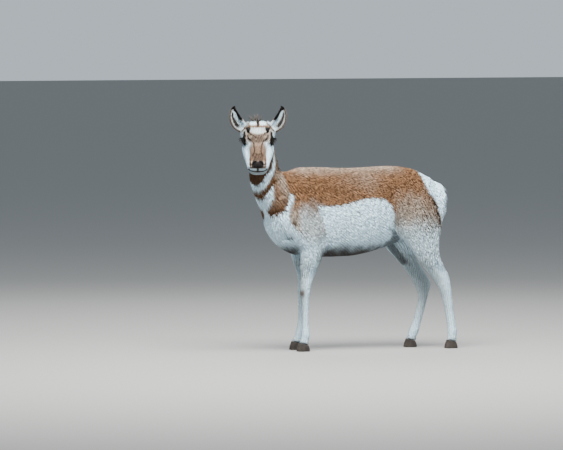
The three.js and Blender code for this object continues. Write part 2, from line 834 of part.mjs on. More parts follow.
for (const plate of cuts) {
  flesh = flesh.subtract(plate);
}

/** The largest closed surface of a solid. */
function largest(body) {
  return body.decompose().reduce((a, b) => (b.volume() > a.volume() ? b : a));
}

/** The middle of a solid's box. */
function middleOf(body) {
  const { min, max } = body.boundingBox();
  return new THREE.Vector3(...min).add(new THREE.Vector3(...max)).multiplyScalar(0.5);
}

const pieces = flesh.decompose().sort((a, b) => b.volume() - a.volume());
const flats = pieces.slice(0, markers.length);
for (const marker of markers) {
  const near = (body) => middleOf(body).distanceTo(marker.at);
  const best = flats.reduce((a, b) => (near(b) < near(a) ? b : a));
  flats.splice(flats.indexOf(best), 1);
  place(marker.name, surface(best), marker.finish);
}

place('tail', surface(largest(tail)), WHITE_COAT);
for (const { name, side } of SIDES) {
  place(`eye_${name}`, eyeBall(side, EYE_RADIUS), EYE);
}
for (const { name, side, table } of LEGS) {
  place(`${name}_hoof_inner`, claw(table, side, -side), HOOF);
  place(`${name}_hoof_outer`, claw(table, side, side), HOOF);
}

// The finished animal stands over the origin
const extent = new THREE.Box3().setFromObject(group);
const centre = extent.getCenter(new THREE.Vector3());
group.position.set(-centre.x, -centre.y, -extent.min.z);

export default group;
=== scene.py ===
"""A life-size pronghorn doe: one skin under a coat of tufts, with eyes, horn buds and hooves.

Shapes are worked out in millimetres in the animal's own axes: the body points along -X, its
left side faces -Y, and heights are over the floor. `Place` turns them into metres in the
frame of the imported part.
"""

from __future__ import annotations

import functools
import logging
import math
from collections.abc import Callable
from dataclasses import dataclass, field
from enum import Enum

import bmesh
import bpy
import numpy as np
import openvdb
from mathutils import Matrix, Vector


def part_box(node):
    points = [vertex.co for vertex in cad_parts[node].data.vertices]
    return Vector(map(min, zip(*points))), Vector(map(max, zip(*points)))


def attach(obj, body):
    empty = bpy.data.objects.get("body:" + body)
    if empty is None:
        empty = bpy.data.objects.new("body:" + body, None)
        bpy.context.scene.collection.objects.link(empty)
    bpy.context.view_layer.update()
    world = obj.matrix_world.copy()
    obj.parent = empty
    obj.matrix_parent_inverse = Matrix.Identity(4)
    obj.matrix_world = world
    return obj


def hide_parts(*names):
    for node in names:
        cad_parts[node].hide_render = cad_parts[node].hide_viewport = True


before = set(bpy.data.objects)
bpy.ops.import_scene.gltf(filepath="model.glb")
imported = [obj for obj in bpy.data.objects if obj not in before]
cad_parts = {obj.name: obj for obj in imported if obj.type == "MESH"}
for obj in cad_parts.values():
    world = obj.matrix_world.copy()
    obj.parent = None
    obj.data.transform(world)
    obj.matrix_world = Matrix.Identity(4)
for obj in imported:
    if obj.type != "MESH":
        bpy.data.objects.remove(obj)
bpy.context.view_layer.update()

log = logging.getLogger("pronghorn")

BODY = "root"
SEED = 20
Array = np.ndarray
UP = np.array([0, 0, 1.0])
Colour = tuple[float, float, float, float]


class Slot(Enum):
    """The record's material slots."""

    COAT = "coat"
    WHITE = "white_coat"
    EYE = "eye"
    HORN = "horn"
    HOOF = "hoof"


# Arrays and smooth tables


def unit(vectors: Array) -> Array:
    """Vectors over their own lengths."""
    return vectors / np.maximum(np.linalg.norm(vectors, axis=-1, keepdims=True), 1e-9)


def ramp(low: float, high: float, value: Array) -> Array:
    """A rise from 0 at low to 1 at high, level at both ends: t squared times (3 - 2 t)."""
    t = np.clip((value - low) / (high - low), 0.0, 1.0)
    return t * t * (3 - 2 * t)


def smooth_rows(keys: Array | tuple, per_span: int) -> Array:
    """A table with extra rows between its own, so many to each span.

    The first column rises or falls all the way, and each other column is a cubic of it through
    the given rows. Its slope at a row is the harmonic mean of the two secants beside it, or
    zero where they turn, so it never overshoots.
    """
    keys = np.array(keys, float)
    steps = np.diff(keys[:, 0])
    secant = np.diff(keys, axis=0) / steps[:, None]
    before, after = secant[:-1], secant[1:]
    same = before * after > 0
    total = np.where(same, before + after, 1.0)
    inner = np.where(same, 2 * before * after / total, 0.0)
    slope = np.vstack([secant[:1], inner, secant[-1:]])
    t = (np.arange(per_span) / per_span)[None, :, None]
    a, b = keys[:-1, None], keys[1:, None]
    lead = t * (1 - t) ** 2 * slope[:-1, None]
    trail = t * t * (t - 1) * slope[1:, None]
    rows = a + (b - a) * t * t * (3 - 2 * t) + steps[:, None, None] * (lead + trail)
    return np.vstack([rows.reshape(-1, keys.shape[1]), keys[-1:]])


def between(key: Array, table: list[tuple[float, float]]) -> Array:
    """The value of a two-column table at each key, straight between its rows."""
    keys, values = np.array(table, float).T
    return np.interp(key, keys, values)


def circle(count: int) -> Array:
    """Angles evenly round a circle."""
    return np.linspace(0, 2 * math.pi, count, endpoint=False)


def bell(*offsets: Array) -> Array:
    """A bell over one or more offsets: e to the power of minus the sum of their squares."""
    return np.exp(-sum(offset * offset for offset in offsets))


def most(*values: Array) -> Array:
    """The greatest of several values at each place."""
    return functools.reduce(np.maximum, values)


def flattened(vectors: Array, normals: Array) -> Array:
    """Vectors without their part along the normals."""
    return vectors - (vectors * normals).sum(1, keepdims=True) * normals


def closed_spline(points: Array, samples: int) -> Array:
    """Points along closed centripetal Catmull-Rom curves, so many to each span.

    Args:
        points: (rows, corners, 3) corners of each row's loop.
        samples: how many points each span gives.

    Returns:
        (rows, corners * samples, 3) points, each loop starting at its first corner.
    """
    before, here, after, beyond = (np.roll(points, shift, axis=1) for shift in (1, 0, -1, -2))
    gap = [np.linalg.norm(b - a, axis=2, keepdims=True) ** 0.5 + 1e-6
           for a, b in ((before, here), (here, after), (after, beyond))]
    ahead = (after - here) / gap[1]
    leave = ((here - before) / gap[0] - (after - before) / (gap[0] + gap[1]) + ahead) * gap[1]
    arrive = (ahead - (beyond - here) / (gap[1] + gap[2]) + (beyond - after) / gap[2]) * gap[1]
    here, leave, after, arrive = (v[:, :, None] for v in (here, leave, after, arrive))
    t = (np.arange(samples) / samples)[None, None, :, None]
    cubic = (2 * t**3 - 3 * t**2 + 1) * here + (t**3 - 2 * t**2 + t) * leave
    cubic = cubic + (3 * t**2 - 2 * t**3) * after + (t**3 - t**2) * arrive
    return cubic.reshape(points.shape[0], -1, 3)


def line_distance(points: Array, corners: list[tuple[float, ...]]) -> Array:
    """Distance of points to a broken line through its corners."""
    path = np.array(corners, float)
    nearest = np.full(len(points), 1e9)
    for start, end in zip(path[:-1], path[1:]):
        along = end - start
        share = np.clip((points - start) @ along / (along @ along), 0, 1)
        nearest = np.minimum(nearest, np.linalg.norm(points - start - share[:, None] * along, axis=1))
    return nearest


def polygon_distance(points: Array, corners: list[tuple[float, float]]) -> Array:
    """Signed distance of plane points to a polygon's edge, positive inside."""
    corners = [*corners, corners[0]]
    x, y = points.T
    inside = np.zeros(len(points), bool)
    for (ax, ay), (bx, by) in zip(corners[:-1], corners[1:]):
        crosses = (ay > y) != (by > y)
        inside ^= crosses & (x < ax + (bx - ax) * (y - ay) / ((by - ay) or 1.0))
    nearest = line_distance(points, corners)
    return np.where(inside, nearest, -nearest)


def drift(points: Array, scale: float, seed: int) -> Array:
    """A slow random wave over space, from about -1 to 1.

    It is the mean of a few sine waves whose directions and phases are drawn from the seed,
    and whose lengths lie near the scale.
    """
    rng = np.random.default_rng(seed)
    ways = unit(rng.normal(size=(7, 3))) * rng.uniform(0.7, 1.6, (7, 1))
    phases = rng.uniform(0, 2 * math.pi, 7)
    waves = np.sin(points @ ways.T * (2 * math.pi / scale) + phases)
    return waves.mean(axis=1) * 1.6


# Surfaces


@dataclass
class Surface:
    """Points and the triangles between them.

    Attributes:
        points: (n, 3) places in millimetres.
        faces: (m, 3) corners of each triangle.
        marks: named values of each point.
        flat: (n, 2) places on a map of the piece, or None.
    """

    points: Array
    faces: Array
    marks: dict[str, Array] = field(default_factory=dict)
    flat: Array | None = None

    def volume(self) -> float:
        """The volume inside, negative where the faces point in."""
        a, b, c = (self.points[self.faces[:, k]] for k in range(3))
        return float((a * np.cross(b, c)).sum() / 6)

    def outward(self) -> Surface:
        """The same surface with its faces pointing out."""
        faces = self.faces if self.volume() > 0 else self.faces[:, ::-1].copy()
        return Surface(self.points, faces, self.marks, self.flat)

    def crossed(self) -> Array:
        """The cross product of each face's edges: its direction times twice its area."""
        a, b, c = (self.points[self.faces[:, k]] for k in range(3))
        return np.cross(b - a, c - a)

    def normals(self) -> Array:
        """Each point's direction: the mean of its faces' directions by area."""
        out = np.zeros_like(self.points)
        crossed = self.crossed()
        for k in range(3):
            np.add.at(out, self.faces[:, k], crossed)
        return unit(out)


def carried(surface: Surface, move: Callable[[Array], Array]) -> Surface:
    """A bare surface with its points moved."""
    return Surface(move(surface.points), surface.faces)


def joined(surfaces: list[Surface]) -> Surface:
    """Several surfaces as one, with the marks that they share."""
    starts = np.cumsum([0] + [len(s.points) for s in surfaces[:-1]])
    names = set.intersection(*(set(s.marks) for s in surfaces))
    mapped = all(s.flat is not None for s in surfaces)
    return Surface(
        np.vstack([s.points for s in surfaces]),
        np.vstack([s.faces + start for s, start in zip(surfaces, starts)]),
        {name: np.concatenate([s.marks[name] for s in surfaces]) for name in names},
        np.vstack([s.flat for s in surfaces]) if mapped else None,
    )


def wall(rows: int, sides: int, spans: int) -> Array:
    """The triangles from each of the first rings to the next, and from the last to the first."""
    row, side = np.meshgrid(np.arange(spans), np.arange(sides), indexing="ij")
    a = row * sides + side
    b = row * sides + (side + 1) % sides
    c, d = ((corner + sides) % (rows * sides) for corner in (b, a))
    return np.stack([a, b, c, a, c, d], -1).reshape(-1, 3)


def repeated(points: Array, shape: Array, marks: dict[str, Array], along: Array, flat: Array) -> Surface:
    """Many small closed shapes of one kind as one surface, with their faces pointing out.

    Args:
        points: (n, corners, 3) places.
        shape: the triangles of one of them.
        marks: (n,) named values of each.
        along: (corners,) how far along the hair each corner lies.
        flat: (n, corners, 2) places on the piece's map.

    Returns:
        The surface.
    """
    count, corners = points.shape[:2]
    faces = (np.array(shape)[None] + corners * np.arange(count)[:, None, None]).reshape(-1, 3)
    # The first few show which way all of them are wound
    few = 400
    if Surface(points[:few].reshape(-1, 3) - points[0, 0], faces[:few * len(shape)]).volume() <= 0:
        faces = faces[:, ::-1].copy()
    marks = {name: np.repeat(value, corners) for name, value in marks.items()}
    marks["along"] = np.tile(along, count)
    return Surface(points.reshape(-1, 3), faces, marks, flat.reshape(-1, 2))


def tube(rings: Array) -> Surface:
    """A closed surface over (rows, sides, 3) rings, with a fan over each end."""
    rows, sides = rings.shape[:2]
    first = np.arange(sides)
    second = (first + 1) % sides
    base = rows * sides
    last = base - sides
    start = np.stack([np.full(sides, base), second, first], -1)
    end = np.stack([np.full(sides, base + 1), last + first, last + second], -1)
    points = np.vstack([rings.reshape(-1, 3), rings[0].mean(0), rings[-1].mean(0)])
    return Surface(points, np.vstack([wall(rows, sides, rows - 1), start, end])).outward()


def ball(centre: Array, radius: float, axes: Array) -> Surface:
    """A sphere whose pole lies along the first of three axes, given as rows."""
    polar = np.linspace(0.02, math.pi - 0.02, 40)[:, None]
    turn = circle(64)
    local = [np.cos(polar) + 0 * turn, np.sin(polar) * np.cos(turn), np.sin(polar) * np.sin(turn)]
    return tube(centre + radius * np.stack(local, -1) @ axes)


# The body's parts, as closed lofts


@dataclass(frozen=True)
class Trunk:
    """The trunk, from the point of the breast to the rump.

    Columns of the table: x, top, widest level, floor, half width, how peaked the top is.
    """

    floor_shape: float = 0.92
    keys: tuple = (
        (-455, 650, 605, 570, 30, 1.0),
        (-445, 705, 603, 545, 62, 0.95),
        (-422, 765, 602, 512, 88, 0.95),
        (-390, 806, 604, 480, 99, 1.1),
        (-343, 831, 608, 451, 114, 1.25),
        (-294, 846, 610, 437, 121, 1.35),
        (-230, 846, 612, 432, 126, 1.3),
        (-150, 843, 615, 431, 132, 1.2),
        (-60, 840, 616, 433, 134, 1.15),
        (20, 842, 624, 445, 133, 1.1),
        (98, 846, 642, 466, 127, 1.05),
        (147, 847, 652, 481, 122, 1.05),
        (200, 843, 660, 500, 119, 1.05),
        (250, 834, 664, 512, 117, 1.05),
        (300, 812, 668, 522, 111, 1.05),
        (343, 788, 674, 545, 107, 1.0),
        (374, 767, 680, 572, 95, 1.0),
        (392, 746, 686, 606, 76, 0.95),
        (401, 720, 690, 652, 44, 0.9),
    )

    def surface(self) -> Surface:
        """Superellipses square to X: y is a power of the cosine, z follows the sine."""
        rows = smooth_rows(self.keys, 5)
        x, top, level, floor, half, peak = (rows[:, k, None] for k in range(6))
        up = np.sin(circle(72)) + 0 * x
        side = np.cos(circle(72)) + 0 * x
        power = np.where(up > 0, peak, self.floor_shape)
        y = half * np.sign(side) * np.abs(side) ** power
        z = level + up * np.where(up > 0, top - level, level - floor)
        return tube(np.stack([x + 0 * y, y, z], -1))


class Neck:
    """The neck, rising out of the shoulders and turning to the left under the head.

    Columns of the table: step, x, y, z of the middle, throat depth, nape depth, half width,
    turn in degrees.
    """

    keys = (
        (0, -345, 0, 640, 104, 120, 94, 0),
        (1, -405, 0, 715, 98, 104, 88, 0),
        (2, -445, 0, 775, 84, 80, 68, 0),
        (3, -461, -1, 818, 81, 63, 58, 3),
        (4, -467, -2, 860, 70, 57, 52, 12),
        (5, -472, -4, 903, 57, 55, 48, 28),
        (6, -480, -8, 945, 54, 53, 47, 48),
        (7, -491, -18, 980, 50, 52, 47, 62),
        (8, -507, -42, 1006, 42, 46, 42, 70),
    )

    rows_each = 8
    row_apart = 6.0
    # How many points are looked up at once, to spare memory
    chunk = 20000

    def __init__(self) -> None:
        """Works out the axes along the middle line."""
        self.rows = smooth_rows(self.keys, self.rows_each)
        self.middles = self.rows[:, 1:4]
        self.along = unit(np.gradient(self.middles, axis=0))
        ahead = np.array([-1.0, 0, 0])
        self.front = unit(ahead - self.along * (self.along @ ahead)[:, None])
        self.side = np.cross(self.along, self.front)

    def surface(self) -> Surface:
        """Ovals square to the middle line, deeper towards the nape or throat, and turned."""
        angle = circle(60)
        around = angle - np.radians(self.rows[:, 7:8])
        depth = np.where(np.cos(around) > 0, self.rows[:, 4:5], self.rows[:, 5:6])
        reach = 1 / np.hypot(np.cos(around) / depth, np.sin(around) / self.rows[:, 6:7])
        ring = self.middles[:, None] + (reach * np.cos(angle))[..., None] * self.front[:, None]
        return tube(ring + (reach * np.sin(angle))[..., None] * self.side[:, None])

    def coordinates(self, points: Array) -> tuple[Array, Array, Array]:
        """Where (n, 3) points lie on the neck.

        Returns:
            The step along the table, the angle in degrees round from the throat's middle,
            positive towards the animal's left, and the direction down the neck.
        """
        step = np.empty(len(points))
        angle = np.empty(len(points))
        down = np.empty_like(points)
        for start in range(0, len(points), self.chunk):
            span = slice(start, start + self.chunk)
            offset = points[span][:, None] - self.middles[None]
            cost = np.abs((offset * self.along[None]).sum(2)) + 0.15 * np.linalg.norm(offset, axis=2)
            best = cost.argmin(1)
            near = offset[np.arange(len(best)), best]
            # A straight step along the middle line makes the whole-row answer smooth.
            slip = (near * self.along[best]).sum(1) / self.row_apart
            step[span] = self.rows[best, 0] + np.clip(slip, -1, 1) / self.rows_each
            turn = np.arctan2((near * self.side[best]).sum(1), (near * self.front[best]).sum(1))
            angle[span] = (np.degrees(turn) - self.rows[best, 7] + 180) % 360 - 180
            down[span] = -self.along[best]
        return step, angle, down


@dataclass(frozen=True)
class Head:
    """The head's own axes and its slices.

    Axes: x along the nose, y to the animal's left, z out of the brow. Columns of the table:
    x, top, half widths at the brow, face, cheek and jaw, the level of the cheek, floor.
    """

    at: tuple = (-539.0, -110.0, 977.0)
    yaw: float = math.radians(70)
    pitch: float = math.radians(43)
    eye_radius: float = 19.0
    eye_apart: float = 54.0
    lid: float = 3.4
    lids_half: float = 18.5
    lids_rise: float = 12.5
    gaze: float = math.radians(34)
    cant: float = math.radians(18)
    keys: tuple = (
        (-112, 8, 14, 20, 20, 14, -24, -46),
        (-101, 26, 34, 42, 40, 28, -26, -66),
        (-78, 42, 43, 66, 60, 36, -30, -80),
        (-50, 51, 48, 75, 70, 40, -38, -88),
        (-14, 55, 47, 62, 72, 42, -45, -91),
        (14, 52, 42, 55, 72, 43, -47, -89),
        (42, 45, 34, 50, 69, 43, -46, -83),
        (70, 38, 28, 46, 64, 42, -43, -75),
        (100, 33, 26, 44, 58, 41, -40, -68),
        (130, 30, 26, 44, 53, 39, -37, -64),
        (150, 28, 26, 43, 49, 36, -34, -64),
        (163, 25, 25, 41, 45, 32, -31, -62),
        (172, 21, 22, 36, 38, 26, -28, -56),
        (179, 16, 18, 29, 29, 18, -21, -42),
        (184, 11, 13, 20, 19, 11, -12, -25),
        (187.5, 5, 5, 8, 8, 5, -3, -11),
    )

    def axes(self) -> Array:
        """Rows: along the nose, to the animal's left, out of the brow."""
        cp, sp = math.cos(self.pitch), math.sin(self.pitch)
        cy, sy = math.cos(self.yaw), math.sin(self.yaw)
        return np.array([[-cp * cy, -cp * sy, -sp], [sy, -cy, 0], [-sp * cy, -sp * sy, cp]])

    def to_body(self, points: Array) -> Array:
        """Points of the head's axes, in the body's."""
        return np.asarray(points, float) @ self.axes() + np.array(self.at)

    def from_body(self, points: Array) -> Array:
        """Points of the body's axes, in the head's."""
        return (points - np.array(self.at)) @ self.axes().T

    def level(self, ahead: float, above: float) -> Array:
        """A point given by how far it lies in front of and above the middle of the eyes."""
        return np.array(self.at) + ahead * self.toward() + above * UP

    def toward(self) -> Array:
        """The level direction that the face points."""
        return np.array([-math.cos(self.yaw), -math.sin(self.yaw), 0])

    def lid_radius(self) -> float:
        """The radius of the arcs that bound the opening between the lids."""
        return (self.lids_half * self.lids_half + self.lids_rise * self.lids_rise) / (2 * self.lids_rise)

    def surface(self) -> Surface:
        """The skull in the head's axes: spline loops through crown, brows, cheeks and chin."""
        rows = smooth_rows(self.keys, 6)
        x, top, brow, face, cheek, jaw, level, floor = rows.T
        zero = np.zeros_like(x)
        tall, deep = top - level, level - floor
        edge = [(brow, top - 0.13 * tall), (face, top - 0.52 * tall), (cheek, level),
                (jaw, floor + 0.16 * deep)]
        corners = [(zero, top), *edge, (zero, floor), *((-half, z) for half, z in reversed(edge))]
        loops = np.stack([np.stack([x, half, z], -1) for half, z in corners], 1)
        return tube(closed_spline(loops, 6))


STANCE_FORE = 65
STANCE_HIND = 71
FOOT_TOP = 34
FORELEG = (
    (795, -298, 28, 30, 26, 0),
    (745, -312, 48, 54, 40, 0),
    (680, -335, 72, 76, 44, 0),
    (620, -345, 80, 84, 43, 0),
    (560, -318, 83, 86, 41, 0),
    (510, -277, 81, 76, 38, 0),
    (466, -263, 77, 57, 34, 0),
    (411, -270, 73, 49, 30, 0),
    (360, -280, 69, 39, 26, 0),
    (320, -288, 67, 30, 23.5, 0),
    (290, -293, 66, 27, 23, 0),
    (262, -293, 65.5, 24, 21, 0),
    (237, -292.5, STANCE_FORE, 18.5, 17, 0),
    (150, -291, STANCE_FORE, 17, 15, 0),
    (102, -291, STANCE_FORE, 18, 16.5, 0),
    (78, -290, STANCE_FORE, 22, 20, 0.05),
    (56, -294, STANCE_FORE, 19, 18, 0.12),
    (FOOT_TOP, -299, STANCE_FORE, 24, 22, 0.3),
)
HINDLEG_LEFT = (
    (790, 285, 28, 44, 28, 0),
    (740, 277, 50, 86, 42, 0),
    (680, 264, 66, 110, 50, 0),
    (620, 256, 72, 118, 51, 0),
    (563, 250, 74, 118, 48, 0),
    (516, 272, 75, 93, 44, 0),
    (458, 297, 76, 67, 38, 0),
    (427, 310, 76, 59, 34, 0),
    (399, 326, 76, 55, 31, 0),
    (371, 345, 75, 51, 28, 0),
    (349, 361, 75, 49, 26, 0),
    (319, 379, 74, 40, 24, 0),
    (275, 396, 73, 31, 20.5, 0),
    (227, 408, 72, 25, 17.5, 0),
    (157, 421, STANCE_HIND, 22, 15.5, 0),
    (102, 430, STANCE_HIND, 22, 17, 0),
    (79, 433, STANCE_HIND, 25, 20, 0.05),
    (56, 432, STANCE_HIND, 21, 18, 0.12),
    (FOOT_TOP, 429, STANCE_HIND, 25, 22, 0.3),
)
HINDLEG_RIGHT = (
    (790, 280, 28, 44, 28, 0),
    (740, 268, 50, 86, 42, 0),
    (680, 252, 66, 108, 50, 0),
    (620, 242, 72, 116, 51, 0),
    (563, 226, 74, 108, 48, 0),
    (516, 222, 75, 90, 44, 0),
    (458, 230, 76, 66, 38, 0),
    (427, 249, 76, 53, 34, 0),
    (397, 271, 76, 49, 31, 0),
    (365, 297, 76, 47, 28.5, 0),
    (330, 320, 75, 46, 26, 0),
    (298, 339, 75, 44, 24, 0),
    (268, 345, 74, 32, 21, 0),
    (236, 343, 73, 24, 18, 0),
    (199, 335, 72, 22, 16, 0),
    (140, 318, STANCE_HIND, 21.5, 15.5, 0),
    (96, 304, STANCE_HIND, 22, 17, 0.03),
    (76, 297, STANCE_HIND, 25, 20, 0.08),
    (54, 288, STANCE_HIND, 21, 18, 0.15),
    (FOOT_TOP, 281, STANCE_HIND, 25, 22, 0.3),
)
# How much farther back the right foreleg stands, by height
RIGHT_FORE_SHIFT = [(0, 10), (40, 12), (84, 21), (139, 29), (231, 32), (278, 39), (320, 39), (360, 33),
                    (425, 12), (468, 0), (800, 0)]


@dataclass(frozen=True)
class Leg:
    """One leg, sliced level from the top of the shoulder or haunch to the coronet.

    Columns of the table: height, x, out from the middle, half depth, half width, slope.
    """

    name: str
    side: int
    keys: Array

    def surface(self) -> Surface:
        """Ovals on level or gently sloping slices."""
        rows = smooth_rows(self.keys, 5)
        height, x, out, deep, half, slope = (rows[:, k, None] for k in range(6))
        dx = deep * np.cos(circle(36))
        y = self.side * out + half * np.sin(circle(36))
        return tube(np.stack([x + dx, y, height - slope * dx], -1))

    def middle(self, height: Array) -> Array:
        """The x of the leg's middle at each height."""
        return np.interp(height, self.keys[::-1, 0], self.keys[::-1, 1])


def legs() -> list[Leg]:
    """The four legs, with the right foreleg set back at each height."""
    fore = np.array(FORELEG, float)
    right = fore.copy()
    right[:, 1] += between(right[:, 0], RIGHT_FORE_SHIFT)
    return [
        Leg("foreleg_left", -1, fore),
        Leg("foreleg_right", 1, right),
        Leg("hindleg_left", -1, np.array(HINDLEG_LEFT, float)),
        Leg("hindleg_right", 1, np.array(HINDLEG_RIGHT, float)),
    ]


@dataclass(frozen=True)
class Place:
    """Where the animal's own millimetres lie in the frame's metres."""

    shift: Array

    @classmethod
    def of(cls, head: Head) -> Place:
        """The place that puts the model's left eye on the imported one."""
        low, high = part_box("eye_left")
        packed = np.array((low + high) / 2) * 1000
        shift = packed - head.to_body([0, head.eye_apart, 0])
        shift[2] = 0
        return cls(shift)

    def to_frame(self, points: Array) -> Array:
        """Points in the frame, in metres."""
        return (np.asarray(points, float) + self.shift) / 1000


# Distance fields, which the skin is cut from and the coat is laid on


@dataclass
class Grid:
    """A box of samples, a voxel apart.

    Attributes:
        low: the box's lowest corner.
        voxel: the samples' distance in millimetres.
        shape: how many samples there are each way.
        values: the signed distance to the skin, once it has been worked out.
    """

    low: Array
    voxel: float
    shape: tuple[int, int, int]
    values: Array | None = None

    band: int = 12

    @classmethod
    def around(cls, low: tuple, high: tuple, voxel: float) -> Grid:
        """A grid that fills the box between two corners."""
        low, high = np.array(low, float), np.array(high, float)
        return cls(low, voxel, tuple(int(n) for n in np.ceil((high - low) / voxel)))

    def centres(self, first: tuple = (0, 0, 0), last: tuple | None = None) -> tuple[Array, ...]:
        """The x, y and z of a window of samples, each as a thin array that spreads over it."""
        ranges = zip(self.low, first, self.shape if last is None else last)
        return np.ix_(*(low + self.voxel * np.arange(a, b) for low, a, b in ranges))

    def distance(self, surface: Surface) -> Array:
        """The signed distance to a closed surface, cut off some voxels away from it."""
        level = openvdb.FloatGrid.createLevelSetFromPolygons(
            (surface.points - self.low).astype(np.float32),
            triangles=surface.faces.astype(np.uint32),
            transform=openvdb.createLinearTransform(voxelSize=self.voxel),
            halfWidth=self.band,
        )
        values = np.empty(self.shape, np.float32)
        level.copyToArray(values)
        return values

    def skin(self) -> Surface:
        """The surface where the distance is zero."""
        level = openvdb.FloatGrid(background=self.band * self.voxel)
        level.copyFromArray(self.values)
        level.transform = openvdb.createLinearTransform(voxelSize=self.voxel)
        points, triangles, quads = level.convertToPolygons(isovalue=0.0, adaptivity=0.0)
        halves = [quads[:, [0, 1, 2]], quads[:, [0, 2, 3]]] if len(quads) else []
        faces = np.vstack(([triangles] if len(triangles) else []) + halves).astype(np.int64)
        return Surface(points.astype(float) + self.low, faces).outward()

    def sample(self, points: Array) -> Array:
        """The distance at points, straight between the eight samples round each."""
        place = (points - self.low) / self.voxel
        place = np.clip(place, 0, np.array(self.shape) - 1.001)
        cell = place.astype(int)
        part = place - cell
        total = np.zeros(len(points))
        for corner in np.ndindex(2, 2, 2):
            share = np.prod([part[:, k] if corner[k] else 1 - part[:, k] for k in range(3)], axis=0)
            total += share * self.values[tuple((cell + corner).T)]
        return total

    def slope(self, points: Array) -> Array:
        """The direction in which the distance grows, from samples a voxel either way."""
        steps = np.eye(3) * self.voxel
        return unit(np.stack([self.sample(points + s) - self.sample(points - s) for s in steps], -1))

    def swell(self, centre: tuple, radii: tuple, amount: float) -> None:
        """Raises the skin round a point by a bell, or sinks it where amount is negative."""
        centre, radii = np.array(centre, float), np.array(radii, float)
        # A bell is next to nothing past three radii
        first = np.maximum(((centre - 3 * radii - self.low) / self.voxel).astype(int), 0)
        last = np.minimum(((centre + 3 * radii - self.low) / self.voxel).astype(int) + 1, self.shape)
        offsets = [(c - at) / size for c, at, size in zip(self.centres(first, last), centre, radii)]
        window = tuple(slice(a, b) for a, b in zip(first, last))
        self.values[window] -= (amount * bell(*offsets)).astype(np.float32)


def blend_union(a: Array, b: Array, reach: float) -> Array:
    """The smaller of two distances, rounded where they come within reach of each other."""
    share = np.clip(0.5 + 0.5 * (b - a) / reach, 0, 1)
    return b + (a - b) * share - reach * share * (1 - share)


def ellipsoid(grid: Grid, centre: tuple, radii: tuple) -> Array:
    """Roughly the distance to an ellipsoid: its scaled radius less one, times its size."""
    scaled = [(c - at) / size for c, at, size in zip(grid.centres(), centre, radii)]
    return ((np.sqrt(sum(s * s for s in scaled)) - 1) * min(radii)).astype(np.float32)


def rod(grid: Grid, start: tuple, end: tuple, radius: float) -> Array:
    """The distance to a rod with round ends: to its middle line, less its radius."""
    offset = [c - s for c, s in zip(grid.centres(), start)]
    along = [e - s for s, e in zip(start, end)]
    share = np.clip(sum(o * a for o, a in zip(offset, along)) / sum(a * a for a in along), 0, 1)
    gap = sum((o - share * a) ** 2 for o, a in zip(offset, along))
    return (np.sqrt(gap) - radius).astype(np.float32)


@dataclass(frozen=True)
class Dock:
    """The tail's flesh, under its hair.

    Columns of the table: step, x, z, half width, half depth.
    """

    keys: tuple = (
        (0, 362, 752, 14, 9),
        (1, 388, 749, 16, 10),
        (2, 401, 734, 15, 8),
        (3, 407, 710, 12, 6),
        (4, 407, 690, 5, 3),
    )

    def rows(self) -> Array:
        """The table with rows between its own."""
        return smooth_rows(self.keys, 6)

    def surface(self) -> Surface:
        """Ovals across the line of the tail."""
        rows = self.rows()
        middle = np.stack([rows[:, 1], 0 * rows[:, 1], rows[:, 2]], 1)
        across = np.array([0, 1.0, 0])
        out = np.cross(across, unit(np.gradient(middle, axis=0)))
        turn = circle(24)[:, None]
        ring = middle[:, None] + rows[:, 3, None, None] * np.cos(turn) * across
        return tube(ring + rows[:, 4, None, None] * np.sin(turn) * out[:, None])


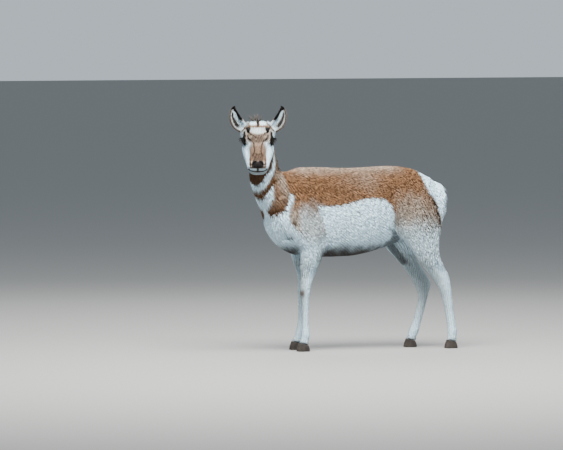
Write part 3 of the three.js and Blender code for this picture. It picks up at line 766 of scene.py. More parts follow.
class Flesh:
    """The skin's two distance fields: a coarse one for the body and a fine one for the head."""

    body_voxel = 6.2
    head_voxel = 1.9
    coat_depth = 6.5
    leg_depth = 2.2
    head_depth = 2.2

    # Body: centre, radii, height of the bell
    body_forms = (
        ((-318, 92, 640), (46, 30, 62), 7),  # muscle of the shoulder
        ((-352, 84, 588), (26, 26, 26), 6),  # point of the shoulder
        ((-262, 96, 560), (34, 26, 34), 6),  # upper arm above the elbow
        ((-232, 112, 648), (20, 34, 74), -6),  # hollow behind the shoulder blade
        ((-232, 92, 512), (26, 26, 30), -10),  # hollow behind the elbow
        ((-300, 40, 812), (44, 26, 22), 3),  # top of the shoulder blade
        ((-388, 70, 534), (26, 20, 12), -8),  # fold before the upper arm
        ((-384, 58, 690), (14, 30, 60), -5),  # hollow between neck and shoulder
        ((120, 96, 716), (46, 40, 52), -6),  # hollow of the flank before the hip
        ((186, 78, 786), (34, 26, 22), 6),  # point of the hip
        ((262, 112, 640), (70, 30, 80), 5),  # muscle of the thigh
        ((136, 112, 572), (16, 30, 30), -10),  # fold of the flank
        ((158, 112, 532), (16, 30, 26), -9),  # crease before the thigh
        ((182, 104, 500), (16, 30, 22), -8),  # its lower end
        ((336, 86, 600), (38, 26, 60), 4),  # back of the thigh
        ((-405, 0, 600), (30, 14, 60), -5),  # groove between the breast muscles
        ((-398, 46, 590), (36, 30, 54), 5),  # breast muscle
        ((392, 0, 590), (34, 12, 60), -16),  # cleft under the tail
    )
    # Face, on both sides of its middle
    face_forms = (
        ((34, 40, 24), (20, 10, 12), -5.0),  # hollow before the eye
        ((60, 54, -20), (36, 10, 12), 3.5),  # ridge of the cheek
        ((96, 47, -6), (30, 9, 10), -3.5),  # hollow above the lips
        ((70, 15, 40), (34, 5, 8), -2.2),  # groove beside the bridge
        ((-44, 58, 22), (18, 12, 12), -4.0),  # hollow of the temple
        ((-2, 50, 27), (16, 12, 9), 4.0),  # brow over the eye
        ((160, 31, 14), (11, 7, 9), 3.6),  # wing of the nostril
        ((152, 40, -16), (20, 9, 11), 3.0),  # upper lip
        ((20, 62, -46), (40, 14, 20), 2.5),  # round of the jaw
        ((128, 16, 30), (10, 10, 5), 2.0),  # fold of the muzzle
    )

    def __init__(self, trunk: Trunk, neck: Neck, head: Head, limbs: list[Leg]) -> None:
        """Works out both fields."""
        self.head = head
        self.neck = neck
        self.cut_at = head.level(-106, -30)
        self.cut_way = unit(0.8 * head.toward() + 0.6 * UP)
        self.body = self._body_field(trunk, limbs)
        self.face = self._head_field()

    def _body_field(self, trunk: Trunk, limbs: list[Leg]) -> Grid:
        """The trunk, neck, back of the head and legs, joined softly and drawn in by the coat."""
        grid = Grid.around((-650, -190, -25), (460, 190, 1110), self.body_voxel)
        skull = carried(self.head.surface(), self.head.to_body)
        # What is joined on in turn, and within how many millimetres the joint is rounded
        parts = [(self.neck.surface(), 42)]
        parts += [(limb.surface(), 24 if limb.name.startswith("fore") else 15) for limb in limbs]
        total = grid.distance(trunk.surface())
        for part, reach in [*parts, (Dock().surface(), 12), (skull, 22)]:
            total = blend_union(total, grid.distance(part), reach)
        grid.values = total.astype(np.float32)
        centres = grid.centres()
        depth = self.leg_depth + (self.coat_depth - self.leg_depth) * ramp(300, 470, centres[2])
        past_cut = sum((c - at) * way for c, at, way in zip(centres, self.cut_at, self.cut_way))
        grid.values += (depth + (self.head_depth - depth) * ramp(-60, 0, past_cut)).astype(np.float32)
        for (x, y, z), radii, amount in self.body_forms:
            for side in (-1, 1):
                grid.swell((x, side * y, z), radii, amount / (2 if y == 0 else 1))
        return grid

    def past_cut(self, points: Array) -> Array:
        """How far points lie past the cut between neck and head."""
        return (points - self.cut_at) @ self.cut_way

    def _head_field(self) -> Grid:
        """The head in its own axes, with orbits, nostrils, lips and chin."""
        head = self.head
        grid = Grid.around((-165, -110, -170), (205, 110, 95), self.head_voxel)
        throat = carried(self.neck.surface(), head.from_body)
        total = blend_union(grid.distance(head.surface()), grid.distance(throat), 22)
        lids = head.eye_radius + head.lid
        for side in (-1, 1):
            total = blend_union(total, ellipsoid(grid, (-8, side * 37, 9), (42, 32, 27)), 12)
            total = blend_union(total, ellipsoid(grid, (0, side * head.eye_apart, 0), (lids,) * 3), 8)
        total += self.head_depth
        grid.values = total.astype(np.float32)
        self._carve_face(grid)
        return grid

    def _carve_face(self, grid: Grid) -> None:
        """Folds of the face, then the openings of eyes, nostrils and mouth."""
        for side in (-1, 1):
            for (x, y, z), radii, amount in self.face_forms:
                grid.swell((x, side * y, z), radii, amount)
        # The groove between the nostrils, and the chin
        grid.swell((182, 0, 2), (9, 2.6, 16), -3.0)
        grid.swell((176, 0, -34), (10, 16, 8), 2.0)
        values = grid.values
        x, y, z = grid.centres()
        for side in (-1, 1):
            inner = rod(grid, (165, side * 14, 21), (174, side * 22, 11), 5.4)
            wing = rod(grid, (174, side * 22, 11), (167, side * 33, 5), 3.6)
            values = most(values, -self._lid_opening(grid, side), -np.minimum(inner, wing))
        slit = most(np.abs(z - self.lip_line(x)) - 2.1, 118 - x) + 0 * y
        groove = most(slit, -(grid.values + 4.5))
        grid.values = most(values, -groove).astype(np.float32)

    @staticmethod
    def lip_line(ahead: Array) -> Array:
        """The height of the line between the lips: level in front, lower towards the corners."""
        back = np.clip((194 - ahead) / 84, 0, 1)
        return -19 - 32 * back + 16 * back * back

    def _lid_opening(self, grid: Grid, side: int) -> Array:
        """Distance to the space between the lids: a pointed oval driven outwards."""
        x, y, z = grid.centres()
        y = y - side * self.head.eye_apart
        out, along, high = (x * w[0] + y * w[1] + z * w[2] for w in eye_axes(self.head, side))
        radius = self.head.lid_radius()
        sunk = self.head.lids_rise - radius
        upper = np.hypot(along, high - sunk) - radius
        lower = np.hypot(along, high + sunk) - radius
        return most(upper, lower, 4 - out).astype(np.float32)

    def _ask(self, points: Array, question: Callable[[Grid, Array], Array]) -> Array:
        """The body field's answer at points, and the head field's own past the cut."""
        fine = self.past_cut(points) > 0
        result = question(self.body, points)
        if fine.any():
            found = question(self.face, self.head.from_body(points[fine]))
            result[fine] = found if found.ndim == 1 else found @ self.head.axes()
        return result

    def distance(self, points: Array) -> Array:
        """The distance of points to the skin."""
        return self._ask(points, Grid.sample)

    def slope(self, points: Array) -> Array:
        """The direction out of the skin at points."""
        return self._ask(points, Grid.slope)

    def skin(self) -> Surface:
        """Both surfaces cut at the head's base and sewn together there."""
        face = carried(self.face.skin(), self.head.to_body)
        sewn = bmesh.new()
        for surface, keep_far, shift in ((self.body.skin(), False, -2.0), (face, True, 2.0)):
            part = bmesh.new()
            mesh = bpy.data.meshes.new("part")
            mesh.from_pydata(surface.points.tolist(), [], surface.faces.tolist())
            part.from_mesh(mesh)
            bmesh.ops.bisect_plane(
                part,
                geom=part.verts[:] + part.edges[:] + part.faces[:],
                dist=0.01,
                plane_co=Vector(self.cut_at + shift * self.cut_way),
                plane_no=Vector(self.cut_way),
                clear_outer=not keep_far,
                clear_inner=keep_far,
            )
            part.to_mesh(mesh)
            part.free()
            sewn.from_mesh(mesh)
            bpy.data.meshes.remove(mesh)
        rims = [edge for edge in sewn.edges if edge.is_boundary]
        log.info("sewing %d rim edges", len(rims))
        bmesh.ops.bridge_loops(sewn, edges=rims)
        bmesh.ops.triangulate(sewn, faces=sewn.faces[:])
        bmesh.ops.recalc_face_normals(sewn, faces=sewn.faces[:])
        mesh = bpy.data.meshes.new("sewn")
        sewn.to_mesh(mesh)
        sewn.free()
        points = np.empty(len(mesh.vertices) * 3)
        mesh.vertices.foreach_get("co", points)
        faces = np.empty(len(mesh.polygons) * 3, np.int32)
        mesh.polygons.foreach_get("vertices", faces)
        bpy.data.meshes.remove(mesh)
        return Surface(points.reshape(-1, 3), faces.reshape(-1, 3).astype(np.int64))


def eye_axes(head: Head, side: int) -> tuple[Array, Array, Array]:
    """An eye's axes in the head's: out of the eye, along its lids forwards, and up."""
    gaze = np.array([math.sin(head.gaze), side * math.cos(head.gaze), 0])
    ahead = np.array([math.cos(head.gaze), -side * math.sin(head.gaze), 0])
    long = ahead * math.cos(head.cant) - UP * math.sin(head.cant)
    high = ahead * math.sin(head.cant) + UP * math.cos(head.cant)
    return gaze, long, high


# Markings


def band(points: Array, path: list[tuple[float, float]], width: float) -> Array:
    """A soft line: 1 near a broken line of the plane, falling as a bell over its width."""
    return np.minimum(1, 1.5 * bell(line_distance(points, path) / width))


def bands(points: Array, lines: tuple) -> Array:
    """Soft lines laid over each other, each given as its strength, width and path."""
    return np.clip(sum(strength * band(points, path, width) for strength, width, path in lines), 0, 1)


def mixed(masks: dict[str, Array], others: dict[str, Array], share: Array) -> dict[str, Array]:
    """Masks that go over to others by a share from 0 to 1."""
    return {name: value + (others[name] - value) * share for name, value in masks.items()}


class Markings:
    """Where the coat is pale, white, brown, dark or bare, as functions of place.

    The trunk's edges are drawn on its side view, the neck's by step and angle round it, and
    the face's by width from its middle and distance down it. All are alike on both sides.
    """

    # The tan of the side, in x and z
    tan_side = [
        (-520, 735), (-400, 735), (-362, 726), (-370, 700), (-386, 670), (-392, 631), (-384, 600),
        (-352, 566), (-324, 532), (-290, 506), (-252, 500), (-216, 506), (-216, 551), (-230, 597),
        (-242, 640), (-250, 674),
        (-205, 671), (-142, 672), (-93, 683), (-44, 696), (5, 704), (54, 701), (79, 694),
        (103, 675), (118, 638), (122, 596), (140, 556), (170, 516), (200, 480), (260, 320), (440, 320),
        (420, 600), (364, 600), (354, 632), (343, 661), (332, 689), (316, 707), (298, 735), (286, 759),
        (279, 782), (272, 814), (266, 900), (-520, 900),
    ]
    # Its edge along the rump
    rump_edge = tan_side[32:41]
    # The fold between belly and thigh, in x and z, where shade is painted
    groin_shade = [(128, 566), (84, 480), (120, 440), (200, 380), (262, 400)]
    # Where the neck's pattern ends, by height
    neck_end = [(540, -392), (596, -400), (631, -408), (670, -402), (700, -388), (726, -382), (760, -384),
                (820, -400)]
    # How far the middle of the throat's pattern is turned from the neck's own, by step
    pattern_turn = [(0, 0), (0.3, 8), (0.9, 16), (1.6, 26), (2.45, 27), (3, 20), (4, 10), (5, 0)]
    # Edges across the throat: angle from the pattern's middle, and the step
    throat_low = [(0, 2.45), (20, 2.65), (50, 3.15), (80, 3.75), (100, 4.6), (112, 5.2), (180, 5.6)]
    crescent_low = [(0, 1.95), (10, 2.0), (26, 2.1), (67, 2.75), (105, 3.6), (112, 4.05), (180, 4.6)]
    band_low = [(0, 1.55), (15, 1.65), (40, 1.85), (62, 2.05), (180, 2.1)]
    triangle_low = [(0, 0.9), (12, 1.0), (38, 1.3), (58, 1.95), (62, 2.05), (180, 2.1)]
    side_low = [(0, 1.2), (6, 1.0), (18, 0.58), (58, 0.48), (74, 0.5), (92, 0.65), (100, 0.78),
                (106, 0.85), (112, 0.5), (180, -2)]
    # How soft those edges are, in steps
    soft = 0.08
    # The level down to which the brow's tan comes, by how far ahead in the head's axes
    cheek_top = [(-110, 24), (-60, 16), (-20, 4), (40, 6), (110, 2), (150, -8), (170, -32), (190, -60)]
    # Lines of the trunk: strength, width and path in x and z
    shoulder_fold = [(-369, 601), (-363, 597)]
    breast_fold = [(-443, 487), (-390, 463), (-333, 451)]
    # Brown marks and painted fold shade: where the neck meets the withers, at the shoulder, armpit and
    # breast folds; the two short lines on the barrel are marks of the coat
    brown_marks_and_fold_shade = (
        (0.8, 5, [(-399, 815), (-372, 776)]),
        (0.75, 5, [(-351, 758), (-312, 740)]),
        (0.9, 5, shoulder_fold),
        (0.6, 4, [(-392, 534), (-372, 538)]),
        (0.7, 2, [(-66, 647), (-55, 641)]),
        (0.7, 2, [(-52, 636), (-42, 630)]),
        (0.8, 8, breast_fold),
    )
    # Painted shade in the folds of flank, armpit, shoulder and breast: strength, width and path
    fold_shade_lines = (
        (0.5, 5.5, [(98, 568), (116, 556), (136, 530), (160, 498)]),
        (0.7, 3.2, [(-401, 531), (-388, 538), (-371, 533)]),
        (0.5, 5, shoulder_fold),
        (0.45, 7, breast_fold),
    )
    # Dark lines of the face: strength, width and path in width and drop
    # Painted shade along the groove beside the bridge, in width and drop
    bridge_groove_shade = [(21, 6), (17, 26), (14, 48), (19, 64)]
    face_lines = (
        (1.0, 4.6, [(41, -35), (24, -23), (9, -13), (0, -10)]),
        (1.1, 4.4, [(46, -24), (43, -9), (32, 1), (21, 7)]),
        # painted shade in the groove beside the bridge
        (1.05, 3.8, bridge_groove_shade),
        (1.1, 3.6, [(24, 70), (16, 58), (0, 65)]),
        (1.05, 3.0, [(17, 72), (8, 80), (0, 82)]),
    )

    def __init__(self, flesh: Flesh) -> None:
        """Keeps the flesh that gives the neck's and head's axes."""
        self.neck = flesh.neck
        self.head = flesh.head
        self.flesh = flesh
        self.forelegs, self.hindlegs = legs()[0], legs()[2]

    def paint(self, points: Array) -> dict[str, Array]:
        """The masks of (n, 3) points on or near the skin.

        Returns:
            Shares from 0 to 1 named pale, white, brown, dark and bare.
        """
        x, _, z = points.T
        wobble = 4 * drift(points, 30, 3) + 3 * drift(points, 12, 4)
        on_neck = ramp(7, -7, x + 0.6 * wobble - between(z, self.neck_end)) * ramp(540, 580, z)
        masks = mixed(self._trunk_masks(points, wobble), self._neck_masks(points, wobble), on_neck)
        on_head = ramp(-8, 8, self.flesh.past_cut(points))
        face = self._head_masks(points)
        return {**mixed(masks, face, on_head), "bare": face["bare"] * on_head}

    def _trunk_masks(self, points: Array, wobble: Array) -> dict[str, Array]:
        """The tan saddle with its pale spine, greying shoulder and haunch, painted shade under the body and
        in its folds, and the legs.
        """
        x, y, z = points.T
        side, out = np.stack([x, z], 1), np.abs(y)
        ripple = 14 * drift(points, 60, 5)
        tan = ramp(-7, 8, polygon_distance(side, self.tan_side) + wobble)
        tan = tan * (1 - ramp(290, 330, x) * ramp(74, 50, out + ripple) * ramp(650, 620, z))
        fore = ramp(-196, -216, x)
        hind = ramp(100, 150, x)
        low = most(ramp(700, 600, z + ripple) * fore, ramp(770, 610, z + 1.6 * ripple) * hind)
        spine = 0.62 * ramp(785, 850, z + 0.5 * ripple) * ramp(-400, -300, x) * ramp(230, 110, x)
        lighter = ramp(-190, -20, x + ripple) * ramp(110, 0, x + ripple) * ramp(700, 800, z + ripple)
        pale = most(0.92 * low, spine, 0.3 * lighter)
        fade = ramp(640, 505, z + ripple) * hind + ramp(600, 500, z + ripple) * fore
        fade = np.clip(fade, 0, 1) * (0.78 + 0.22 * ramp(470, 360, z))
        grey = ramp(715, 600, z + ripple) * ramp(-360, -325, x) * ramp(-205, -240, x)
        white = most(1 - tan, fade, 0.42 * grey)
        rich = 0.30 * ramp(700, 740, z) * ramp(825, 790, z) * ramp(20, -60, x)
        spots = bell((x - 100) / 34, (z - 748) / 36) * 0.42 + bell((x - 195) / 40, (z - 806) / 24) * 0.25
        patchy = 0.20 * drift(points, 85, 6) + 0.14 * drift(points, 26, 7)
        brown = np.clip((rich + spots + patchy + 0.10) * (1 - pale) * tan, 0, 1)
        from_edge = line_distance(side, self.rump_edge)
        fringe = bell((from_edge - 9) / 15) * ramp(755, 690, z) * tan * ramp(48, 70, out)
        speckle = ramp(0.2, 0.6, drift(points, 13, 10)) * ramp(190, 290, x)
        speckle = speckle * ramp(700, 640, z) * ramp(530, 575, z) * tan
        # Painted shade under the belly and under the breast, where the body shades itself
        underside_shade = ramp(515, 446, z + 0.8 * ripple) * ramp(-270, -190, x) * ramp(160, 80, x)
        underside_shade = most(underside_shade, ramp(520, 460, z) * ramp(-440, -400, x) * ramp(-300, -350, x))
        # Painted shade in the fold between belly and thigh
        groin_shade = ramp(-8, 10, polygon_distance(side, self.groin_shade) + 0.5 * ripple) * ramp(78, 60, y)
        # Over the coat's fringe and speckle, the fold lines, underside and groin add painted shade
        brown = most(brown, 0.95 * fringe * ramp(-0.7, 0.2, drift(points, 16, 8)), 0.8 * speckle,
                     bands(side, self.brown_marks_and_fold_shade), 0.85 * underside_shade, 0.4 * groin_shade)
        # Painted shade along the folds of the body's sides
        fold_shade = bands(side, self.fold_shade_lines) * ramp(60, 80, out + 40 * (x < -300))
        dark = most(fringe * ramp(-0.2, 0.4, drift(points, 13, 9)), 0.65 * speckle, fold_shade,
                    0.66 * underside_shade, 0.6 * groin_shade)
        return self._leg_masks(points, dict(pale=pale, white=white, brown=brown, dark=dark))

    def _leg_masks(self, points: Array, masks: dict[str, Array]) -> dict[str, Array]:
        """Adds the knee's brown patch, the limbs' warm front, coronets, and painted shade on their inner
        side and in the tendon groove.
        """
        x, y, z = points.T
        behind = x - np.where(x < 0, self.forelegs.middle(z), self.hindlegs.middle(z))
        knee = bell((z - 268) / 17) * (x < 0) * ramp(-2, -14, behind)
        warm = 0.30 * ramp(470, 400, z) * ramp(60, 240, z) * ramp(4, -12, behind)
        # Painted shade in the groove beside the tendon behind the cannon
        streak = 0.30 * bell((behind - 8) / 3.5) * ramp(250, 225, z) * ramp(80, 110, z)
        # Painted shade on the legs' inner sides, which face each other
        inner = 0.28 * ramp(74, 52, np.abs(y)) * ramp(470, 430, z) * ramp(60, 240, z)
        return dict(
            pale=most(masks["pale"], ramp(470, 420, z)),
            white=masks["white"] * (1 - warm) * (1 - 0.12 * ramp(420, 300, z)),
            brown=most(masks["brown"], 0.85 * knee, 0.35 * streak, 0.4 * ramp(60, 40, z)),
            dark=most(masks["dark"], inner),
        )

    def _neck_masks(self, points: Array, wobble: Array) -> dict[str, Array]:
        """The crescents and bands of the throat, and the neck's sides."""
        step, angle, _ = self.neck.coordinates(points)
        off = np.abs(angle - between(step, self.pattern_turn))
        off = np.minimum(off, 360 - off)
        step = step + wobble * 0.006
        edges = (self.throat_low, self.crescent_low, self.band_low, self.triangle_low, self.side_low)
        under_throat, under_crescent, under_band, under_triangle, breast = (
            ramp(self.soft, -self.soft, step - between(off, edge)) for edge in edges)
        crescent = under_throat * (1 - under_crescent) * ramp(122, 108, off)
        triangle = under_band * (1 - under_triangle) * ramp(66, 56, off)
        jaw = ramp(4.7, 5.3, step) * ramp(110, 90, off)
        white = most(crescent, triangle, breast, jaw)
        patch = (1 - under_throat) * ramp(118, 95, off) * (1 - jaw)
        belt = under_crescent * (1 - under_band) * ramp(100, 60, off)
        side = under_crescent * (1 - breast) * (1 - triangle)
        rise = step - between(off, self.side_low)
        low = side * ramp(0.52, 0.08, rise) * ramp(104, 72, off)
        nape = ramp(150, 174, off) * ramp(0.8, 2.4, step)
        grey = side * ramp(2.4, 3.2, step)
        brown = 0.84 * belt + 0.74 * low + 0.8 * patch + 0.3 * side + 0.25 * grey + 0.55 * nape
        lower = side * ramp(0.45, 0.1, rise) * ramp(85, 40, off)
        dark = np.clip(0.38 * patch + 0.26 * lower + 0.3 * nape, 0, 1) * (1 - white)
        pale = 0.5 * ramp(60, 90, off) + 0.25
        return dict(pale=pale, white=white, brown=np.clip(brown, 0, 1) * (1 - white), dark=dark)

    def _head_masks(self, points: Array) -> dict[str, Array]:
        """The face, drawn in millimetres from its middle and down it as seen from in front."""
        ahead, left, up = self.head.from_body(points).T
        wide = np.abs(left)
        # Ahead and up weigh by the sine and cosine of the head's pitch
        drop = 0.682 * ahead - 0.731 * up
        plan = np.stack([wide + 1.8 * drift(points, 13, 24), drop + 1.8 * drift(points, 13, 25)], 1)
        mottle = np.clip(0.8 + 0.5 * drift(points, 6.5, 26), 0, 1.2)
        ripple = 2.0 * drift(points, 16, 21) + 1.2 * drift(points, 6, 22)
        speck = 0.10 * drift(points, 9, 23)
        above = up - between(ahead, self.cheek_top)
        gap = up - self.flesh.lip_line(ahead)
        top = ramp(-7, 7, above + ripple)
        cheek = ramp(7, -9, above - 4 + ripple)
        back = ramp(-92, -112, ahead) * ramp(-46, -16, up)
        bridge = ramp(43, 30, wide - 0.10 * (drop - 40) + ripple) * ramp(2, 34, drop + ripple)
        bridge = bridge * ramp(100, 84, drop)
        forehead = ramp(50, 34, wide) * ramp(-36, -20, drop) * ramp(24, 2, drop + 0.35 * (wide - 15))
        forehead = forehead * (1 - 0.7 * bell((wide - 34) / 9, (drop + 13) / 8))
        brow = ramp(38, 33, wide) * ramp(-58, -54, drop) * ramp(-19, -25, drop + 0.48 * wide + ripple)
        crown = ramp(40, 34, wide + ripple) * ramp(-63, -68, drop) * ramp(3, 8, wide)
        crown = crown * ramp(-100, -88, drop)
        cream = bell((wide - 41) / 12, (drop - 22) / 18)
        lips = ramp(124, 130, drop) * ramp(140, 150, ahead)
        beside = ramp(27, 33, wide) * ramp(80, 96, drop)
        temple = ramp(50, 60, wide) * ramp(-20, -45, drop)
        white = most(cheek, top * (0.55 + 3 * speck) * brow, (0.8 + 2 * speck) * crown * top,
                     (0.8 + speck) * cream * top, lips, 0.9 * beside * (1 - bridge), 0.35 * temple)
        white = white * (1 - 0.92 * back)
        pale = np.clip(0.92 - (0.62 * bridge + 0.3 * forehead) * top + speck, 0, 1) * (1 - 0.4 * back)
        wrinkle = 0.5 + 0.5 * np.sin((drop + 0.05 * wide * wide) * 2 * math.pi / 8.5 + 0.9 * ripple)
        wrinkle = (wrinkle * ramp(25, 14, wide) * ramp(58, 66, drop) * ramp(98, 92, drop)) ** 2
        stripe = band(plan, [(44, -78), (58, -58), (72, -40), (84, -25)], 5.2)
        muzzle = 0.32 * ramp(31, 20, wide + ripple) * ramp(50, 64, drop) * ramp(104, 90, drop)
        brown = most(
            stripe,
            muzzle,
            0.35 * forehead,
            (0.24 + speck) * bridge,
            0.35 * back,
            band(plan, [(0, -60), (40, -60)], 5.0) * mottle,
            0.8 * band(plan, [(0, -92), (0, -72)], 7.0),
            # painted shade in the groove beside the bridge
            0.35 * band(plan, self.bridge_groove_shade, 5.0),
            0.3 * ramp(34, 46, wide) * ramp(4, 16, drop) * ramp(60, 34, drop) * mottle,
            0.6 * band(plan, [(58, 26), (64, 34), (70, 30)], 4.5) * mottle,
            0.95 * band(plan, [(32, 86), (35, 104), (31, 122)], 3.6),
        )
        chin = 0.30 * bell((gap + 14) / 6) * ramp(150, 165, ahead) * (0.6 + 4 * speck)
        brown = most(np.clip(brown * most(top, back), 0, 1), stripe * ramp(-60, -48, ahead),
                     0.4 * wrinkle * top, chin)
        rim = ramp(30.5, 26.5, np.linalg.norm(np.stack([ahead, wide - self.head.eye_apart, up], 1), axis=1))
        lobes = 88 + 7 * bell(wide / 5) + 0.05 * np.maximum(0, wide - 13) ** 2
        pad = ramp(28.5, 25.5, wide) * ramp(-2.0, 2.0, drop - lobes)
        pad = pad * ramp(127.5, 124, drop + 0.004 * wide * wide) * ramp(120, 140, ahead)
        mouth = bell(gap / (8.8 - 0.11 * wide)) * ramp(116, 126, ahead)
        dark = most(
            *(share * band(plan, path, width) * mottle * top for share, width, path in self.face_lines),
            pad,
            mouth,
            rim,
            0.92 * forehead * mottle * top,
            (0.42 + 0.14 * ramp(14, 8, wide)) * bridge * mottle * top,
            2.8 * muzzle * mottle * top,
            0.9 * wrinkle * mottle * top,
            0.34 * brow * mottle * top,
            0.3 * crown * ramp(0, 0.6, drift(points, 7, 27)) * top,
            band(plan, [(0, -80), (-1, -63)], 5.0) * top,
            0.3 * band(plan, [(0, -59), (38, -59)], 3.6) * mottle,
            band(np.stack([wide, 1.2 * drop], 1), [(40, -60), (47, -60)], 8.5) * top,
            band(plan, [(43, -52), (42, -33)], 4.4) * top,
            0.9 * band(plan, [(48, -74), (62, -52), (80, -27)], 4.2) * ramp(-56, -44, ahead),
            band(plan, [(61, -34), (59, 6)], 5.4) * ramp(-40, -28, ahead),
            band(plan, [(80, -26), (81, -18)], 5.0) * ramp(-40, -28, ahead),
            band(plan, [(70, 12), (74, 27)], 5.0) * ramp(-22, -10, ahead),
            0.34 * ramp(38, 46, wide) * ramp(66, 56, wide) * ramp(0, 12, drop) * ramp(52, 34, drop)
            * ramp(-0.1, 0.5, drift(points, 8, 28)),
            bell((wide - 39.5) / 5, (drop - 132) / 4.5) * ramp(100, 125, ahead),
            0.24 * ramp(-5, -10, gap) * ramp(126, 145, ahead),
            bell((wide - 42) / 6, (gap - 1) / 5.5) * ramp(130, 142, ahead),
            bell(wide / 5.4) * ramp(122, 126, drop) * ramp(146, 142, drop) * ramp(150, 165, ahead),
        )
        dark = np.clip(dark, 0, 1)
        white = white * (1 - brown) * (1 - dark)
        return dict(pale=pale, white=white, brown=brown, dark=dark, bare=most(pad, mouth, 0.75 * rim))


# The coat


@dataclass(frozen=True)
class Hair:
    """Sizes of the tufts at each root, in millimetres."""

    length: Array
    width: Array
    lift: Array


@dataclass(frozen=True)
class Roots:
    """Places on the skin where tufts stand, with its directions and its own marks there."""

    points: Array
    normals: Array
    marks: dict[str, Array]


@dataclass(frozen=True)
class Clumps:
    """How tufts gather.

    Attributes:
        pull: (n, 3) the way from each root to the middle line of its clump, across the hair.
        far: how far out in its clump each root lies, from 0 to 1.
        tone: the clump's own number, from -1 to 1.
    """

    pull: Array
    far: Array
    tone: Array


class Coat:
    """Tufts of hair over a skin, each a flat blade that follows it."""

    sink = 1.6
    thickness = 0.3
    farthest = 12
    map_size = 0.0014
    # How steeply the trunk's hair falls, in degrees by x
    slant = [(-460, 88), (-400, 72), (-320, 50), (-230, 44), (-120, 36), (60, 34), (160, 42), (260, 54),
             (340, 70), (400, 88)]

    def __init__(self, skin: Surface, flesh: Flesh | None) -> None:
        """Keeps the skin that the tufts are set on and the field that they follow, if any."""
        self.flesh = flesh
        self.skin = skin
        self.skin_normals = skin.normals()
        self.rng = np.random.default_rng(SEED)

    def lie(self, points: Array, normals: Array) -> Array:
        """The direction of the hair at each root, along the skin.

        It runs from nose to poll, down the neck, back and down over the trunk and down the
        legs, with a slow swirl.
        """
        x, _, z = points.T
        tilt = np.radians(between(x, self.slant)) * (0.5 + 0.5 * ramp(850, 790, z))
        way = np.stack([np.cos(tilt), 0 * x, -np.sin(tilt)], 1)
        _, _, down_neck = self.flesh.neck.coordinates(points)
        _, left, up = self.flesh.head.from_body(points).T
        aside = 0.35 * np.sign(left) * ramp(6, 40, np.abs(left))
        to_poll = np.stack([-np.ones(len(x)), aside, -0.30 * ramp(20, -40, up)], 1) @ self.flesh.head.axes()
        for other, share in (
            (np.array([0.12, 0, -1.0]), ramp(520, 400, z)),
            (down_neck, ramp(-350, -410, x + 0.3 * (z - 720)) * ramp(600, 680, z)),
            (to_poll, ramp(-20, 20, self.flesh.past_cut(points))),
        ):
            way = way * (1 - share[:, None]) + other * share[:, None]
        way = unit(flattened(way, normals))
        return turned(way, normals, 0.05 * drift(points, 190, 11) + 0.02 * drift(points, 60, 12))

    @staticmethod
    def streaks(points: Array, way: Array, normals: Array, wide: float) -> Array:
        """Long narrow streaks of light and dark that run with the hair, with a spread of 1.

        It is a sum of sine waves of mixed directions, each averaged over a piece of the
        hair's own line. The mean of sin(k p) over a length 2 h along w is sin(k p) times
        sin(h k w) / (h k w), so only waves across the hair stay. Each counts by the cube of
        its share across the hair in the skin, so that none runs out of the skin.

        Args:
            points: (n, 3) places.
            way: the hair's directions.
            normals: the skin's directions.
            wide: the mean length of the waves.

        Returns:
            (n,) values.
        """
        count = 96
        rng = np.random.default_rng(31)
        across = np.cross(way, normals)
        waves = unit(rng.normal(size=(count, 3)))
        phases = rng.uniform(0, 2 * math.pi, count)
        total = np.zeros(len(points))
        for wave, phase, long in zip(waves, phases, rng.uniform(0.6, 1.5, count)):
            kept = np.abs(across @ wave) ** 3
            wave = wave * 2 * math.pi / (wide * long)
            total += kept * np.sin(points @ wave + phase) * np.sinc(way @ wave * 4 * wide / math.pi)
        return total / total.std()

    def scatter(self, faces: Array, spacing: float) -> Roots:
        """Roots spread evenly over some faces, one to so many square millimetres."""
        area = np.linalg.norm(self.skin.crossed()[faces], axis=1) / 2
        expected = np.cumsum(area / spacing)
        count = int(expected[-1])
        spots = (np.arange(count) + self.rng.random(count)) * expected[-1] / count
        chosen = faces[np.minimum(np.searchsorted(expected, spots), len(faces) - 1)]
        a, b = self.rng.random((2, count))
        flip = a + b > 1
        a, b = np.where(flip, 1 - a, a), np.where(flip, 1 - b, b)
        shares = np.stack([1 - a - b, a, b], 1)
        corners = self.skin.faces[chosen]
        points = (self.skin.points[corners] * shares[..., None]).sum(1)
        normals = unit((self.skin_normals[corners] * shares[..., None]).sum(1))
        marks = {name: (value[corners] * shares).sum(1) for name, value in self.skin.marks.items()}
        return Roots(points, normals, marks)

    def clumps(self, roots: Roots, way: Array, size: float) -> Clumps:
        """Sorts tufts into long narrow clumps.

        Each cell of a cubic lattice holds one clump's middle at a place drawn from the cell's
        own numbers. A root belongs to the middle that is nearest across the hair, where
        distance along the hair counts a third and distance off the skin nothing.

        Args:
            roots: the roots.
            way: the hair's directions.
            size: the width of a cell.

        Returns:
            The clumps.
        """
        points = roots.points
        cell = np.floor(points / size)
        mixing = np.random.default_rng(5).uniform(20, 90, (3, 4))
        nearest = np.full(len(points), np.inf)
        pull = np.zeros_like(points)
        tone = np.zeros(len(points))
        for step in np.ndindex(3, 3, 3):
            here = cell + np.array(step) - 1
            # The last digits of a large product serve as four random numbers of the cell
            dice = np.abs(np.sin(here @ mixing) * 43758.5453) % 1
            gap = flattened((here + dice[:, :3]) * size - points, roots.normals)
            along = (gap * way).sum(1, keepdims=True)
            gap -= along * way
            cost = (gap**2).sum(1) + (along[:, 0] / 3) ** 2
            better = cost < nearest
            nearest = np.where(better, cost, nearest)
            pull = np.where(better[:, None], gap, pull)
            tone = np.where(better, 2 * dice[:, 3] - 1, tone)
        return Clumps(pull, np.clip(np.sqrt(nearest) / (0.42 * size), 0, 1), tone)

